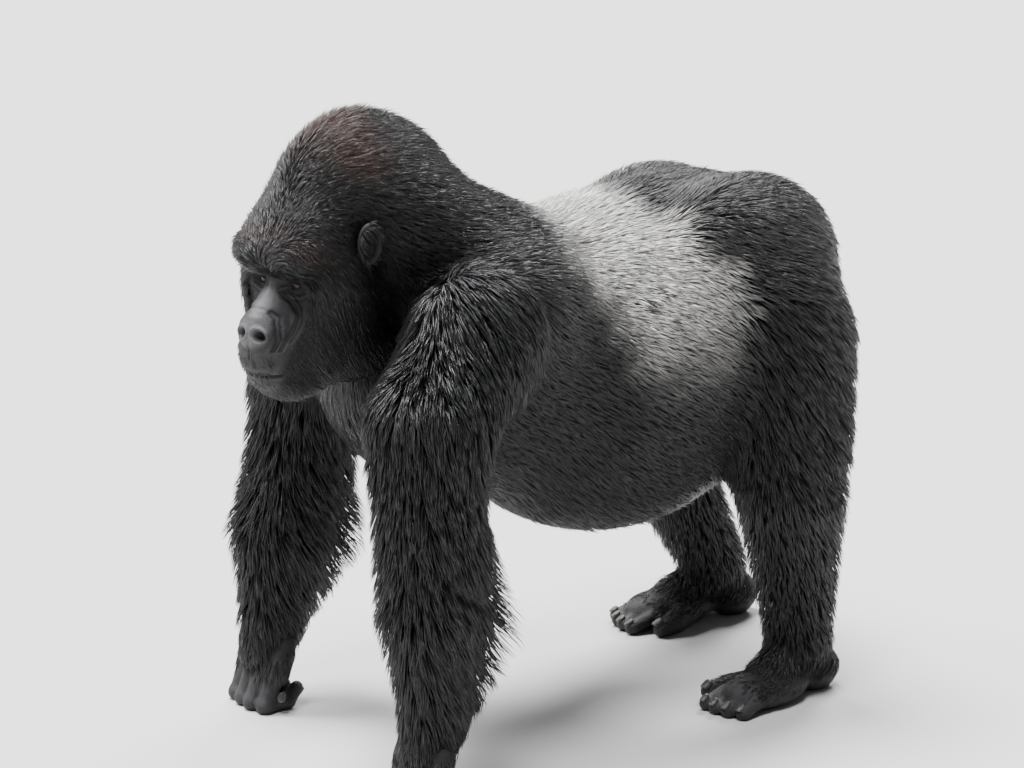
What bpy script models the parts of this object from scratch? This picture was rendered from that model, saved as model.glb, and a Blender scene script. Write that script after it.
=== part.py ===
"""A silverback mountain gorilla standing on all fours, life size, in metres.

+Z is up and the animal faces -Y, so its left side is at +X. The solids give the outline out to the tips of
the coat. The flesh is modelled whole, from rounded lumps that are melted together, and is then parted at the
joints with thin plane cuts. The eyes and the ears are pieces of their own, each in a pocket in the head.
"""

import math

import bmesh
import bpy
from mathutils import Matrix, Vector

# Driving dimensions.
GAP = 0.0003  # clearance between touching pieces
SIDES = {"left": 1, "right": -1}
HEAD_TURN = math.radians(12)  # the head is turned this far to the animal's left
HEAD_PLACE = Vector((0.031, -0.427, 0.0))  # foot of the upright line through the middle of the head
EYE_RADIUS = 0.0125
EYE_PLACE = Vector((0.033, 0.119, 0.793))  # out to the side, forward, up, from HEAD_PLACE
EAR_PLACE = Vector((0.110, 0.048, 0.852))
EAR_SIZE = Vector((0.012, 0.020, 0.034))  # half thickness, half breadth, half height
EAR_TURN = math.radians(20)
EAR_HOLLOW_SHIFT = Vector((0.009, 0.006, 0))  # out and forward, from the ear's centre
EAR_HOLLOW_SHARE = 0.72  # of the ear's size
ORBIT_SIZE = Vector((0.025, 0.022, 0.015))  # half sizes of the hollow in front of each eye
ORBIT_SHIFT = Vector((0.002, 0.030, 0))  # out and forward, from the eye's centre
FINGER_SPACING = 0.029
FINGER_RADIUS = 0.0155
FINGER_HEIGHT = 0.0120  # of the bones that rest on the floor, less than the radius, so that each has a flat
TOE_SPACING = 0.023
TOE_RADIUS = 0.0125
KNEE_CUT = 0.315  # height of the cut just under each knee

# Voxel size, rounds of smoothing, and the number of triangles left in the whole body.
TRUNK_VOXEL, TRUNK_ROUNDS = 0.012, 16
LIMB_VOXEL, LIMB_ROUNDS = 0.012, 6
HEAD_VOXEL, HEAD_ROUNDS = 0.006, 5
HAND_VOXEL, HAND_ROUNDS = 0.006, 2
BODY_VOXEL, BODY_ROUNDS = 0.006, 3
BODY_TRIANGLES = 4350
BALL_SEGMENTS, TUBE_SEGMENTS = 32, 24
SMALL_SEGMENTS = 16  # round the eyes and ears
SHARP_ANGLE = math.radians(40)

# Lumps of the trunk: centre, half sizes.
TRUNK = {
    "chest": ((0, -0.165, 0.610), (0.228, 0.262, 0.218)),
    "belly": ((0, 0.085, 0.555), (0.260, 0.302, 0.272)),
    "upper_back": ((0, -0.200, 0.727), (0.192, 0.202, 0.132)),
    "loin": ((0, 0.130, 0.672), (0.192, 0.262, 0.156)),
    "shoulder_blade_left": ((0.135, -0.190, 0.692), (0.122, 0.172, 0.127)),
    "shoulder_blade_right": ((-0.135, -0.190, 0.692), (0.122, 0.172, 0.127)),
    "croup": ((0, 0.245, 0.694), (0.138, 0.215, 0.164)),
    "buttock_left": ((0.120, 0.285, 0.712), (0.122, 0.177, 0.157)),
    "buttock_right": ((-0.120, 0.285, 0.692), (0.117, 0.177, 0.152)),
}

NECK = [((0, -0.170, 0.685), 0.168), ((0.015, -0.340, 0.840), 0.147)]

# Lumps of the head, from HEAD_PLACE: centre and half sizes, each as side, forward, up. The second list is
# repeated on both sides, turned by the last number, in degrees.
HEAD_MIDDLE = {
    "skull": ((0, 0.000, 0.886), (0.095, 0.131, 0.121)),
    "crest": ((0, -0.022, 0.950), (0.050, 0.126, 0.094)),
    "nape": ((0, -0.110, 0.915), (0.072, 0.090, 0.086)),
    "forehead": ((0, 0.085, 0.863), (0.091, 0.076, 0.061)),
    "face": ((0, 0.045, 0.755), (0.099, 0.101, 0.121)),
    "brow_middle": ((0, 0.128, 0.839), (0.052, 0.047, 0.037)),
    "muzzle": ((0, 0.123, 0.690), (0.064, 0.074, 0.060)),
    "chin": ((0, 0.111, 0.645), (0.057, 0.058, 0.042)),
}
HEAD_PAIRS = {
    "brow": ((0.045, 0.122, 0.837), (0.047, 0.048, 0.037), 18),
    "cheekbone": ((0.068, 0.080, 0.778), (0.044, 0.054, 0.072), 0),
    "jowl": ((0.055, 0.030, 0.695), (0.052, 0.082, 0.067), 0),
    "cheek": ((0.042, 0.085, 0.705), (0.044, 0.062, 0.058), 0),
}
NOSE = [((0, 0.110, 0.800), 0.020), ((0, 0.156, 0.732), 0.036)]

# Joint centres of each arm and leg, with the coat's radius round them.
DELTOID_SIZE = (0.102, 0.122, 0.132)  # half sizes of the lump on each shoulder
ARMS = {
    "left": {
        "shoulder": ((0.232, -0.315, 0.695), 0.102),
        "upper_arm": ((0.262, -0.420, 0.590), 0.107),
        "elbow": ((0.285, -0.440, 0.440), 0.090),
        "forearm": ((0.285, -0.430, 0.300), 0.097),
        "wrist": ((0.283, -0.430, 0.140), 0.058),
        "fringe": ((0.290, -0.338, 0.262), 0.070),
    },
    "right": {
        "shoulder": ((-0.228, -0.265, 0.695), 0.102),
        "upper_arm": ((-0.250, -0.310, 0.570), 0.102),
        "elbow": ((-0.264, -0.320, 0.440), 0.089),
        "forearm": ((-0.264, -0.350, 0.280), 0.097),
        "wrist": ((-0.260, -0.375, 0.140), 0.058),
        "fringe": ((-0.272, -0.265, 0.262), 0.074),
    },
}
LEGS = {
    "left": {
        "hip": ((0.160, 0.300, 0.640), 0.132),
        "knee": ((0.205, 0.305, 0.360), 0.085),
        "ankle": ((0.200, 0.345, 0.100), 0.058),
    },
    "right": {
        "hip": ((-0.160, 0.300, 0.620), 0.132),
        "knee": ((-0.220, 0.345, 0.350), 0.085),
        "ankle": ((-0.200, 0.480, 0.100), 0.058),
    },
}
# The cut at each shoulder: its distance from the joint towards the spine, and how far it faces forward.
SHOULDER_CUT = {"left": (0.050, 0.27), "right": (0.048, 0.36)}
SHOULDER_CUT_BEHIND, SHOULDER_CUT_BELOW = 0.028, 0.095  # from the joint to the middle of the cut
# The cuts across the trunk and neck: middle, the way each faces, breadth and height.
RUMP_CUT = ((0, 0.088, 0.618), (0, 1, 0.40), (0.8, 0.716))
HEAD_CUT = ((0.010, -0.360, 0.800), (-0.10, -0.89, 0.42), (0.7, 0.8))
NECK_CUT = ((0, -0.265, 0.790), (0, -0.68, 0.73), (0.8, 0.6))
WAIST_CUT = ((0, -0.050, 0.600), (0, -1, 0), (0.8, 0.9))
# The cut at the top of each thigh runs from the groin up and out to the side of the hip.
GROIN_TO_HIP = Vector((0.265, 0, 0.450))
THIGH_CUT_MIDDLE = Vector((0.169, 0.330, 0.477))
THIGH_CUT_SIZE = (0.9, 0.64)
SHOULDER_CUT_SIZE = (0.40, 0.52)
LIMB_CUT_SIZE = (0.5, 0.5)
ELBOW_FACING, WRIST_FACING = (0, -0.15, -1), (0, -0.2, -1)
KNEE_FACING, ANKLE_FACING = (0, 0, -1), (0, -0.3, -1)
TOE_OUT = {"left": math.radians(6), "right": math.radians(10)}

# Colours, as red, green, blue, and roughness.
COLOURS = {
    "black_fur": ((0.020, 0.020, 0.023), 0.75),
    "silver_fur": ((0.260, 0.255, 0.245), 0.75),
    "bare_skin": ((0.035, 0.033, 0.034), 0.55),
    "eye": ((0.060, 0.028, 0.014), 0.10),
}


def clear_scene():
    """Remove whatever the startup file holds."""
    for thing in list(bpy.data.objects):
        bpy.data.objects.remove(thing, do_unlink=True)


def new_collection(name):
    collection = bpy.data.collections.new(name)
    bpy.context.scene.collection.children.link(collection)
    return collection


def material(name):
    """The Principled material of that name, made the first time it is asked for."""
    made = bpy.data.materials.get(name)
    if made:
        return made
    colour, roughness = COLOURS[name]
    made = bpy.data.materials.new(name)
    made.use_nodes = True
    shader = made.node_tree.nodes["Principled BSDF"]
    shader.inputs["Base Color"].default_value = (*colour, 1)
    shader.inputs["Roughness"].default_value = roughness
    shader.inputs["Metallic"].default_value = 0.0
    return made


def new_object(name, mesh, collection):
    thing = bpy.data.objects.new(name, mesh)
    collection.objects.link(thing)
    return thing


def head_frame():
    """From side, forward and up, measured at the head, to the body's frame."""
    turn = Matrix.Rotation(HEAD_TURN, 4, "Z") @ Matrix.Scale(-1, 4, (0, 1, 0))
    return Matrix.Translation(HEAD_PLACE) @ turn


def merge(bm, piece):
    """Add the faces of the bmesh piece to bm, and free it."""
    mesh = bpy.data.meshes.new("piece")
    piece.to_mesh(mesh)
    piece.free()
    bm.from_mesh(mesh)
    bpy.data.meshes.remove(mesh)


def add_ball(bm, frame, centre, radii, turn=0.0, segments=BALL_SEGMENTS):
    """Add an ellipsoid to bm. Turn is about the upright axis, in radians."""
    place = frame @ Matrix.Translation(centre) @ Matrix.Rotation(turn, 4, "Z")
    size = Matrix.Diagonal((*radii, 1))
    piece = bmesh.new()
    rings = segments // 2
    bmesh.ops.create_uvsphere(piece, u_segments=segments, v_segments=rings, radius=1.0, matrix=place @ size)
    merge(bm, piece)


def add_limb(bm, frame, joints):
    """Add a chain of round-ended tapered tubes through joints, a list of (point, radius)."""
    for point, radius in joints:
        add_ball(bm, frame, point, (radius, radius, radius))
    for (start, start_radius), (end, end_radius) in zip(joints, joints[1:]):
        start, end = frame @ Vector(start), frame @ Vector(end)
        along = end - start
        turn = along.to_track_quat("Z", "Y").to_matrix().to_4x4()
        tube = bmesh.new()
        bmesh.ops.create_cone(
            tube,
            cap_ends=True,
            segments=TUBE_SEGMENTS,
            radius1=start_radius,
            radius2=end_radius,
            depth=along.length,
            matrix=Matrix.Translation((start + end) / 2) @ turn,
        )
        merge(bm, tube)


def outward(bm):
    bmesh.ops.recalc_face_normals(bm, faces=bm.faces)


def to_mesh(bm, name):
    outward(bm)
    mesh = bpy.data.meshes.new(name)
    bm.to_mesh(mesh)
    bm.free()
    return mesh


def apply_modifiers(thing):
    """Replace the object's mesh by what its modifiers make of it."""
    graph = bpy.context.evaluated_depsgraph_get()
    made = bpy.data.meshes.new_from_object(thing.evaluated_get(graph))
    thing.modifiers.clear()
    thing.data = made


def melt(thing, voxel, rounds):
    """Join overlapping lumps into one surface and round the creases where they meet."""
    remesh = thing.modifiers.new("Join", "REMESH")
    remesh.mode = "VOXEL"
    remesh.voxel_size = voxel
    smooth = thing.modifiers.new("Round", "SMOOTH")
    smooth.factor = 0.5
    smooth.iterations = rounds
    apply_modifiers(thing)


def trunk_and_neck(collection):
    bm = bmesh.new()
    still = Matrix.Identity(4)
    for centre, radii in TRUNK.values():
        add_ball(bm, still, centre, radii)
    add_limb(bm, still, NECK)
    thing = new_object("trunk_lumps", to_mesh(bm, "trunk_lumps"), collection)
    melt(thing, TRUNK_VOXEL, TRUNK_ROUNDS)
    return thing


def head_lumps(collection):
    bm = bmesh.new()
    frame = head_frame()
    for centre, radii in HEAD_MIDDLE.values():
        add_ball(bm, frame, centre, radii)
    for (side, forward, up), radii, turn in HEAD_PAIRS.values():
        for sign in SIDES.values():
            add_ball(bm, frame, (sign * side, forward, up), radii, -sign * math.radians(turn))
    add_limb(bm, frame, NOSE)
    thing = new_object("head_lumps", to_mesh(bm, "head_lumps"), collection)
    melt(thing, HEAD_VOXEL, HEAD_ROUNDS)
    return thing


def add_arm(bm, side):
    arm = ARMS[side]
    still = Matrix.Identity(4)
    add_limb(bm, still, [arm[name] for name in ("shoulder", "upper_arm", "elbow", "forearm", "wrist")])
    add_ball(bm, still, arm["shoulder"][0], DELTOID_SIZE)
    elbow, wrist = Vector(arm["elbow"][0]), Vector(arm["wrist"][0])
    behind_elbow = (elbow + Vector((0, 0.030, -0.020)), 0.072)
    behind_wrist = (wrist + Vector((0, 0.025, 0.0)), 0.042)
    add_limb(bm, still, [behind_elbow, arm["fringe"], behind_wrist])


def add_hand(bm, side):
    """A hand set on the middle joints of its four curled fingers, the thumb on its inner side."""
    sign = SIDES[side]
    wrist = Vector(ARMS[side]["wrist"][0])
    still = Matrix.Identity(4)
    add_limb(bm, still, [(wrist, 0.056), (wrist + Vector((0, -0.014, -0.048)), 0.048)])
    for number in range(4):
        across = sign * (number - 1.5) * FINGER_SPACING
        shorter = 0.006 * abs(number - 1.3)
        knuckle = wrist + Vector((across, -0.022 + shorter, -0.052))
        middle = Vector((knuckle.x, knuckle.y - 0.030, FINGER_HEIGHT))
        end = Vector((knuckle.x, knuckle.y + 0.012, FINGER_HEIGHT))
        tip = Vector((end.x, end.y + 0.018, end.z + 0.020))
        joints = [(knuckle, 0.020), (middle, FINGER_RADIUS), (end, FINGER_RADIUS), (tip, 0.0135)]
        add_limb(bm, still, joints)
    inner = wrist - Vector((sign * 0.046, 0, 0))
    thumb_base = (inner + Vector((0, -0.004, -0.030)), 0.018)
    thumb_tip = (inner + Vector((-sign * 0.010, -0.022, -0.078)), 0.013)
    add_limb(bm, still, [thumb_base, thumb_tip])


def add_leg(bm, side):
    leg = LEGS[side]
    sign = SIDES[side]
    still = Matrix.Identity(4)
    hip, knee, ankle = (Vector(leg[name][0]) for name in ("hip", "knee", "ankle"))
    add_limb(bm, still, [leg["hip"], leg["knee"], leg["ankle"]])
    back_of_thigh = (hip + Vector((sign * 0.010, 0.050, -0.050)), 0.112)
    back_of_knee = (knee + Vector((0, 0.050, 0.050)), 0.082)
    calf = (knee + Vector((0, 0.050, -0.030)), 0.077)
    add_limb(bm, still, [back_of_thigh, back_of_knee])
    add_limb(bm, still, [calf, (ankle + Vector((0, 0.010, 0)), 0.052)])


def add_foot(bm, side):
    """A flat foot with its heel down, four toes forward and the great toe set apart on the inner side."""
    sign = SIDES[side]
    ankle = Vector(LEGS[side]["ankle"][0])
    place = Matrix.Translation((ankle.x, ankle.y, 0)) @ Matrix.Rotation(sign * TOE_OUT[side], 4, "Z")
    frame = place @ Matrix.Scale(-1, 4, (0, 1, 0)) @ Matrix.Scale(sign, 4, (1, 0, 0))
    add_ball(bm, frame, (0, -0.040, 0.036), (0.037, 0.046, 0.042))
    add_limb(bm, frame, [((0, -0.010, 0.080), 0.050), ((0.004, 0.070, 0.042), 0.040)])
    add_ball(bm, frame, (0.006, 0.075, 0.026), (0.048, 0.085, 0.032))
    for number in range(4):
        across = 0.038 - number * TOE_SPACING
        reach = 0.012 * number - 0.003 * number * number
        root = ((across, 0.110 + reach, 0.026), TOE_RADIUS + 0.002)
        tip = ((across * 1.08, 0.160 + reach, 0.011), TOE_RADIUS)
        add_limb(bm, frame, [root, tip])
    great_toe = [
        ((-0.022, 0.045, 0.026), 0.022),
        ((-0.058, 0.100, 0.018), 0.018),
        ((-0.068, 0.130, 0.014), 0.016),
    ]
    add_limb(bm, frame, great_toe)


def limbs(collection):
    bm = bmesh.new()
    for side in SIDES:
        add_arm(bm, side)
        add_leg(bm, side)
    thing = new_object("limb_lumps", to_mesh(bm, "limb_lumps"), collection)
    melt(thing, LIMB_VOXEL, LIMB_ROUNDS)
    return thing


def hands_and_feet(collection):
    bm = bmesh.new()
    for side in SIDES:
        add_hand(bm, side)
        add_foot(bm, side)
    thing = new_object("extremity_lumps", to_mesh(bm, "extremity_lumps"), collection)
    melt(thing, HAND_VOXEL, HAND_ROUNDS)
    return thing


def box_mesh(name, size, place):
    bm = bmesh.new()
    bmesh.ops.create_cube(bm, size=1.0, matrix=place @ Matrix.Diagonal((*size, 1)))
    return to_mesh(bm, name)


def cutter(name, mesh, collection):
    thing = new_object(name, mesh, collection)
    thing.hide_render = True
    thing.display_type = "WIRE"
    return thing


def boolean(thing, other, operation):
    step = thing.modifiers.new(other.name, "BOOLEAN")
    step.operation = operation
    step.solver = "EXACT"
    step.object = other
    apply_modifiers(thing)


def whole_body(collection, cutters):
    """The flesh and coat in one closed surface, standing on flats at z = 0."""
    lumps = [trunk_and_neck(collection), head_lumps(collection), limbs(collection), hands_and_feet(collection)]
    bm = bmesh.new()
    for lump in lumps:
        bm.from_mesh(lump.data)
        bpy.data.objects.remove(lump)
    body = new_object("body", to_mesh(bm, "body"), collection)
    melt(body, BODY_VOXEL, BODY_ROUNDS)
    body.data.calc_loop_triangles()
    fewer = body.modifiers.new("Fewer", "DECIMATE")
    fewer.ratio = BODY_TRIANGLES / len(body.data.loop_triangles)
    apply_modifiers(body)
    under_floor = box_mesh("under_floor", (3, 3, 0.4), Matrix.Translation((0, 0, -0.2)))
    boolean(body, cutter("under_floor", under_floor, cutters), "DIFFERENCE")
    return body


def loose_parts(thing, collection):
    """Split an object into one object for each closed surface in it."""
    bm = bmesh.new()
    bm.from_mesh(thing.data)
    bm.verts.ensure_lookup_table()
    left = set(bm.verts)
    groups = []
    while left:
        group, edge = set(), [left.pop()]
        while edge:
            vertex = edge.pop()
            group.add(vertex)
            linked = {link.other_vert(vertex) for link in vertex.link_edges} & left
            left -= linked
            edge.extend(linked)
        groups.append(sorted(vertex.index for vertex in group))
    bm.free()
    parts = []
    for group in sorted(groups):
        keep = set(group)
        bm = bmesh.new()
        bm.from_mesh(thing.data)
        others = [vertex for vertex in bm.verts if vertex.index not in keep]
        bmesh.ops.delete(bm, geom=others, context="VERTS")
        mesh = bpy.data.meshes.new("part")
        bm.to_mesh(mesh)
        bm.free()
        parts.append(new_object("part", mesh, collection))
    bpy.data.objects.remove(thing)
    return parts


def split(thing, centre, normal, size, names, collection, cutters):
    """Part an object with a thin slab through centre, square to normal.

    names gives the two pieces: the one that normal points to, then the other.
    """
    centre, normal = Vector(centre), Vector(normal).normalized()
    turn = normal.to_track_quat("Z", "Y").to_matrix().to_4x4()
    slab = box_mesh("cut", (*size, GAP), Matrix.Translation(centre) @ turn)
    boolean(thing, cutter("cut_" + names[0], slab, cutters), "DIFFERENCE")
    parts = loose_parts(thing, collection)
    if len(parts) != 2:
        raise ValueError(f"the cut for {names[0]} leaves {len(parts)} pieces")
    for part in parts:
        points = [vertex.co for vertex in part.data.vertices]
        middle = sum(points, Vector()) / len(points)
        part.name = names[0] if (middle - centre).dot(normal) > 0 else names[1]
    return [next(part for part in parts if part.name == name) for name in names]


def part_body(body, collection, cutters):
    """Cut the whole body into its named pieces, and return them."""

    def cut(thing, centre, normal, size, names):
        return split(thing, centre, normal, size, names, collection, cutters)

    pieces = []
    rest = body
    for side, sign in SIDES.items():
        inset, ahead = SHOULDER_CUT[side]
        across = SHOULDER_CUT_BEHIND * ahead - inset
        shoulder = Vector(ARMS[side]["shoulder"][0])
        middle = shoulder + Vector((sign * across, SHOULDER_CUT_BEHIND, -SHOULDER_CUT_BELOW))
        out = (sign * 0.95, -ahead, -0.10)
        arm, rest = cut(rest, middle, out, SHOULDER_CUT_SIZE, ("upper_arm_" + side, "torso"))
        elbow, wrist = ARMS[side]["elbow"][0], ARMS[side]["wrist"][0]
        lower, arm = cut(arm, elbow, ELBOW_FACING, LIMB_CUT_SIZE, ("forearm_" + side, "upper_arm_" + side))
        hand, lower = cut(lower, wrist, WRIST_FACING, LIMB_CUT_SIZE, ("hand_" + side, "forearm_" + side))
        pieces += [arm, lower, hand]
    hips, rest = cut(rest, *RUMP_CUT, ("rump", "torso"))
    for side, sign in SIDES.items():
        to_hip = Vector((sign * GROIN_TO_HIP.x, 0, GROIN_TO_HIP.z)).normalized()
        middle = Vector((sign * THIGH_CUT_MIDDLE.x, THIGH_CUT_MIDDLE.y, THIGH_CUT_MIDDLE.z))
        out = Vector((0, sign, 0)).cross(to_hip)
        thigh, hips = cut(hips, middle, out, THIGH_CUT_SIZE, ("thigh_" + side, "rump"))
        knee, ankle = LEGS[side]["knee"][0], LEGS[side]["ankle"][0]
        below_knee = (knee[0], knee[1], KNEE_CUT)
        shank, thigh = cut(thigh, below_knee, KNEE_FACING, LIMB_CUT_SIZE, ("shank_" + side, "thigh_" + side))
        foot, shank = cut(shank, ankle, ANKLE_FACING, LIMB_CUT_SIZE, ("foot_" + side, "shank_" + side))
        pieces += [thigh, shank, foot]
    pieces.append(hips)
    head, rest = cut(rest, *HEAD_CUT, ("head", "torso"))
    neck, rest = cut(rest, *NECK_CUT, ("neck", "torso"))
    chest, belly = cut(rest, *WAIST_CUT, ("chest", "belly"))
    return pieces + [head, neck, chest, belly]


def ball_object(name, frame, centre, radii, turn, collection):
    bm = bmesh.new()
    add_ball(bm, frame, centre, radii, turn, SMALL_SEGMENTS)
    return new_object(name, to_mesh(bm, name), collection)


def scoop(thing, name, centre, radii, turn, cutters):
    """Take an ellipsoid, placed in the head's frame, out of an object."""
    tool = ball_object(name, head_frame(), centre, radii, turn, cutters)
    tool.hide_render = True
    tool.display_type = "WIRE"
    boolean(thing, tool, "DIFFERENCE")


def add_eyes(head, collection, cutters):
    """Two balls, each in an open socket under the brow."""
    eyes = []
    clearance = Vector((GAP, GAP, GAP))
    for side, sign in SIDES.items():
        place = Vector((sign * EYE_PLACE.x, EYE_PLACE.y, EYE_PLACE.z))
        radii = Vector((EYE_RADIUS, EYE_RADIUS, EYE_RADIUS))
        eyes.append(ball_object("eye_" + side, head_frame(), place, radii, 0, collection))
        orbit = place + Vector((sign * ORBIT_SHIFT.x, ORBIT_SHIFT.y, ORBIT_SHIFT.z))
        scoop(head, "orbit_" + side, orbit, ORBIT_SIZE, 0, cutters)
        scoop(head, "socket_" + side, place, radii + clearance, 0, cutters)
    return eyes


def add_ears(head, collection, cutters):
    """Two oval ears, hollowed on the outer side, each half sunk in a pocket in the coat of the head."""
    ears = []
    clearance = Vector((GAP, GAP, GAP))
    for side, sign in SIDES.items():
        place = Vector((sign * EAR_PLACE.x, EAR_PLACE.y, EAR_PLACE.z))
        turn = sign * EAR_TURN
        ear = ball_object("ear_" + side, head_frame(), place, EAR_SIZE, turn, collection)
        scoop(head, "pocket_" + side, place, EAR_SIZE + clearance, turn, cutters)
        hollow = place + Vector((sign * EAR_HOLLOW_SHIFT.x, EAR_HOLLOW_SHIFT.y, EAR_HOLLOW_SHIFT.z))
        scoop(ear, "hollow_" + side, hollow, EAR_SIZE * EAR_HOLLOW_SHARE, turn, cutters)
        ears.append(ear)
    return ears


def set_looks(pieces):
    for piece in pieces:
        if piece.name.startswith("eye"):
            kind = "eye"
        elif piece.name.startswith(("hand", "foot", "ear")):
            kind = "bare_skin"
        elif piece.name == "belly":
            kind = "silver_fur"
        else:
            kind = "black_fur"
        piece.data.name = piece.name
        piece.data.materials.clear()
        piece.data.materials.append(material(kind))
        piece.data.shade_smooth()
        piece.data.set_sharp_from_angle(angle=SHARP_ANGLE)


def stand_on_origin(pieces):
    """Move the whole so that the middle of its box is over the origin."""
    points = [piece.matrix_world @ vertex.co for piece in pieces for vertex in piece.data.vertices]
    middle = Vector((0, 0, 0))
    for axis in (0, 1):
        values = [point[axis] for point in points]
        middle[axis] = (min(values) + max(values)) / 2
    for thing in bpy.data.objects:
        thing.data.transform(Matrix.Translation(-middle))


def main():
    clear_scene()
    collection = new_collection("gorilla")
    cutters = new_collection("cutters")
    body = whole_body(collection, cutters)
    pieces = part_body(body, collection, cutters)
    head = next(piece for piece in pieces if piece.name == "head")
    pieces += add_eyes(head, collection, cutters)
    pieces += add_ears(head, collection, cutters)
    set_looks(pieces)
    stand_on_origin(pieces)


main()
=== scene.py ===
"""A silverback mountain gorilla on all fours: one skin, its coat in locks, its eyes and its nails.

The skin is the level surface of a distance field made of rounded lumps melted together. The coat is made of
solid tapered locks rooted on the skin, which follow the lie of the hair out to the solids' outline.
"""

import math

import bpy
import numpy as np
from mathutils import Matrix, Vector
from mathutils.kdtree import KDTree


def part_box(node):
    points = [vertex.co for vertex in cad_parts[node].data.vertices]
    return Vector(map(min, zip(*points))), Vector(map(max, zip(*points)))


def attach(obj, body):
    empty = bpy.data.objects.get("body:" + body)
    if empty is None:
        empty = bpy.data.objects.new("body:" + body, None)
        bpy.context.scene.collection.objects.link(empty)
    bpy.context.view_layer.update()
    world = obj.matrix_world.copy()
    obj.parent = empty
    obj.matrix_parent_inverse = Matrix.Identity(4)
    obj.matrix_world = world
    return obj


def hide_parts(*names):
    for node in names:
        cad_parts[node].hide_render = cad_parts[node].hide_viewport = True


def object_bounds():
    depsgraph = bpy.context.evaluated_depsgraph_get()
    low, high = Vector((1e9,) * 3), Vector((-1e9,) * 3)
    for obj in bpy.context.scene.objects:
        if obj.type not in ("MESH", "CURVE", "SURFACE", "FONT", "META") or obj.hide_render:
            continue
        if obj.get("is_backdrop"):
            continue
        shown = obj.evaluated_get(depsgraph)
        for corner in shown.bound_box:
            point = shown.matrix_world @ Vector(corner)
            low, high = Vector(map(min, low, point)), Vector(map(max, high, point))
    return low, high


bl_info = {
    "name": "Silverback gorilla",
    "version": (1, 0, 0),
    "blender": (4, 5, 0),
    "location": "View3D > Sidebar > Gorilla",
    "description": "Skin, coat, eyes and nails of a life-size gorilla",
    "category": "Object",
}

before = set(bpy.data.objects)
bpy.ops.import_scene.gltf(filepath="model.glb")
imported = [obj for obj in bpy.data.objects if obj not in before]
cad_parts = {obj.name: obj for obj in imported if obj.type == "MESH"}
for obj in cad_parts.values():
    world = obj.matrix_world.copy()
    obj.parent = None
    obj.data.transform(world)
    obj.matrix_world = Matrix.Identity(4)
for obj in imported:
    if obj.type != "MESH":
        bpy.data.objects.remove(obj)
SOLID_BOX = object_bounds()
SMALL = np.float32
SIDES = (("left", 1.0), ("right", -1.0))
SIGN = dict(SIDES)

# ---------------------------------------------------------------- the body's plan
# Places are from the point on the floor under the middle of the spine: +X is the animal's left, it faces -Y.
# Places on the head are side, forward and up from the foot of the upright line through the head's middle.

HEAD_TURN = math.radians(12)
HEAD_PLACE = np.array((0.031, -0.427, 0.0))
HEAD_AXES = np.array(
    (
        (math.cos(HEAD_TURN), math.sin(HEAD_TURN), 0.0),
        (math.sin(HEAD_TURN), -math.cos(HEAD_TURN), 0.0),
        (0.0, 0.0, 1.0),
    )
)
EYE_PLACE = (0.033, 0.119, 0.793)
EYE_RADIUS = 0.0125
EAR_PLACE = (0.108, 0.046, 0.853)
EAR_SIZE = (0.0105, 0.0195, 0.0325)
EAR_TURN = 20  # degrees that each ear stands out to the front


def on_head(place):
    """A place on the head as a place on the body."""
    return HEAD_PLACE + np.asarray(place) @ HEAD_AXES


def to_head(points):
    """Side, forward and up at the head, from places on the body."""
    return (points - HEAD_PLACE.astype(SMALL)) @ HEAD_AXES.T.astype(SMALL)


def mirrored(place, sign):
    """A place on the left of the head as it is, or its mirror image on the right."""
    return np.array((sign * place[0], place[1], place[2]))


def model_origin():
    """Where the plan's origin is in the model's frame, from the solid of the left eye."""
    low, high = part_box("eye_left")
    return (np.array(low) + np.array(high)) / 2 - on_head(EYE_PLACE)


ORIGIN = model_origin()

# Lumps of the trunk: centre, half sizes out to the coat's tips, depth of coat, breadth of the join.
TRUNK = (
    ((0, -0.165, 0.610), (0.228, 0.262, 0.218), 0.008, 0.050),
    ((0, 0.085, 0.555), (0.260, 0.302, 0.272), 0.009, 0.060),
    ((0, -0.200, 0.727), (0.192, 0.202, 0.132), 0.011, 0.050),
    ((0.135, -0.190, 0.692), (0.122, 0.172, 0.127), 0.011, 0.040),
    ((-0.135, -0.190, 0.692), (0.122, 0.172, 0.127), 0.011, 0.040),
    ((0, 0.130, 0.672), (0.192, 0.262, 0.156), 0.009, 0.050),
    ((0, 0.245, 0.694), (0.138, 0.215, 0.164), 0.011, 0.040),
    ((0.120, 0.285, 0.712), (0.122, 0.177, 0.157), 0.013, 0.040),
    ((-0.120, 0.285, 0.692), (0.117, 0.177, 0.152), 0.013, 0.040),
)
NECK = ((0, -0.170, 0.685), (0.015, -0.340, 0.840), 0.168, 0.147, 0.022, 0.060)

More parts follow.
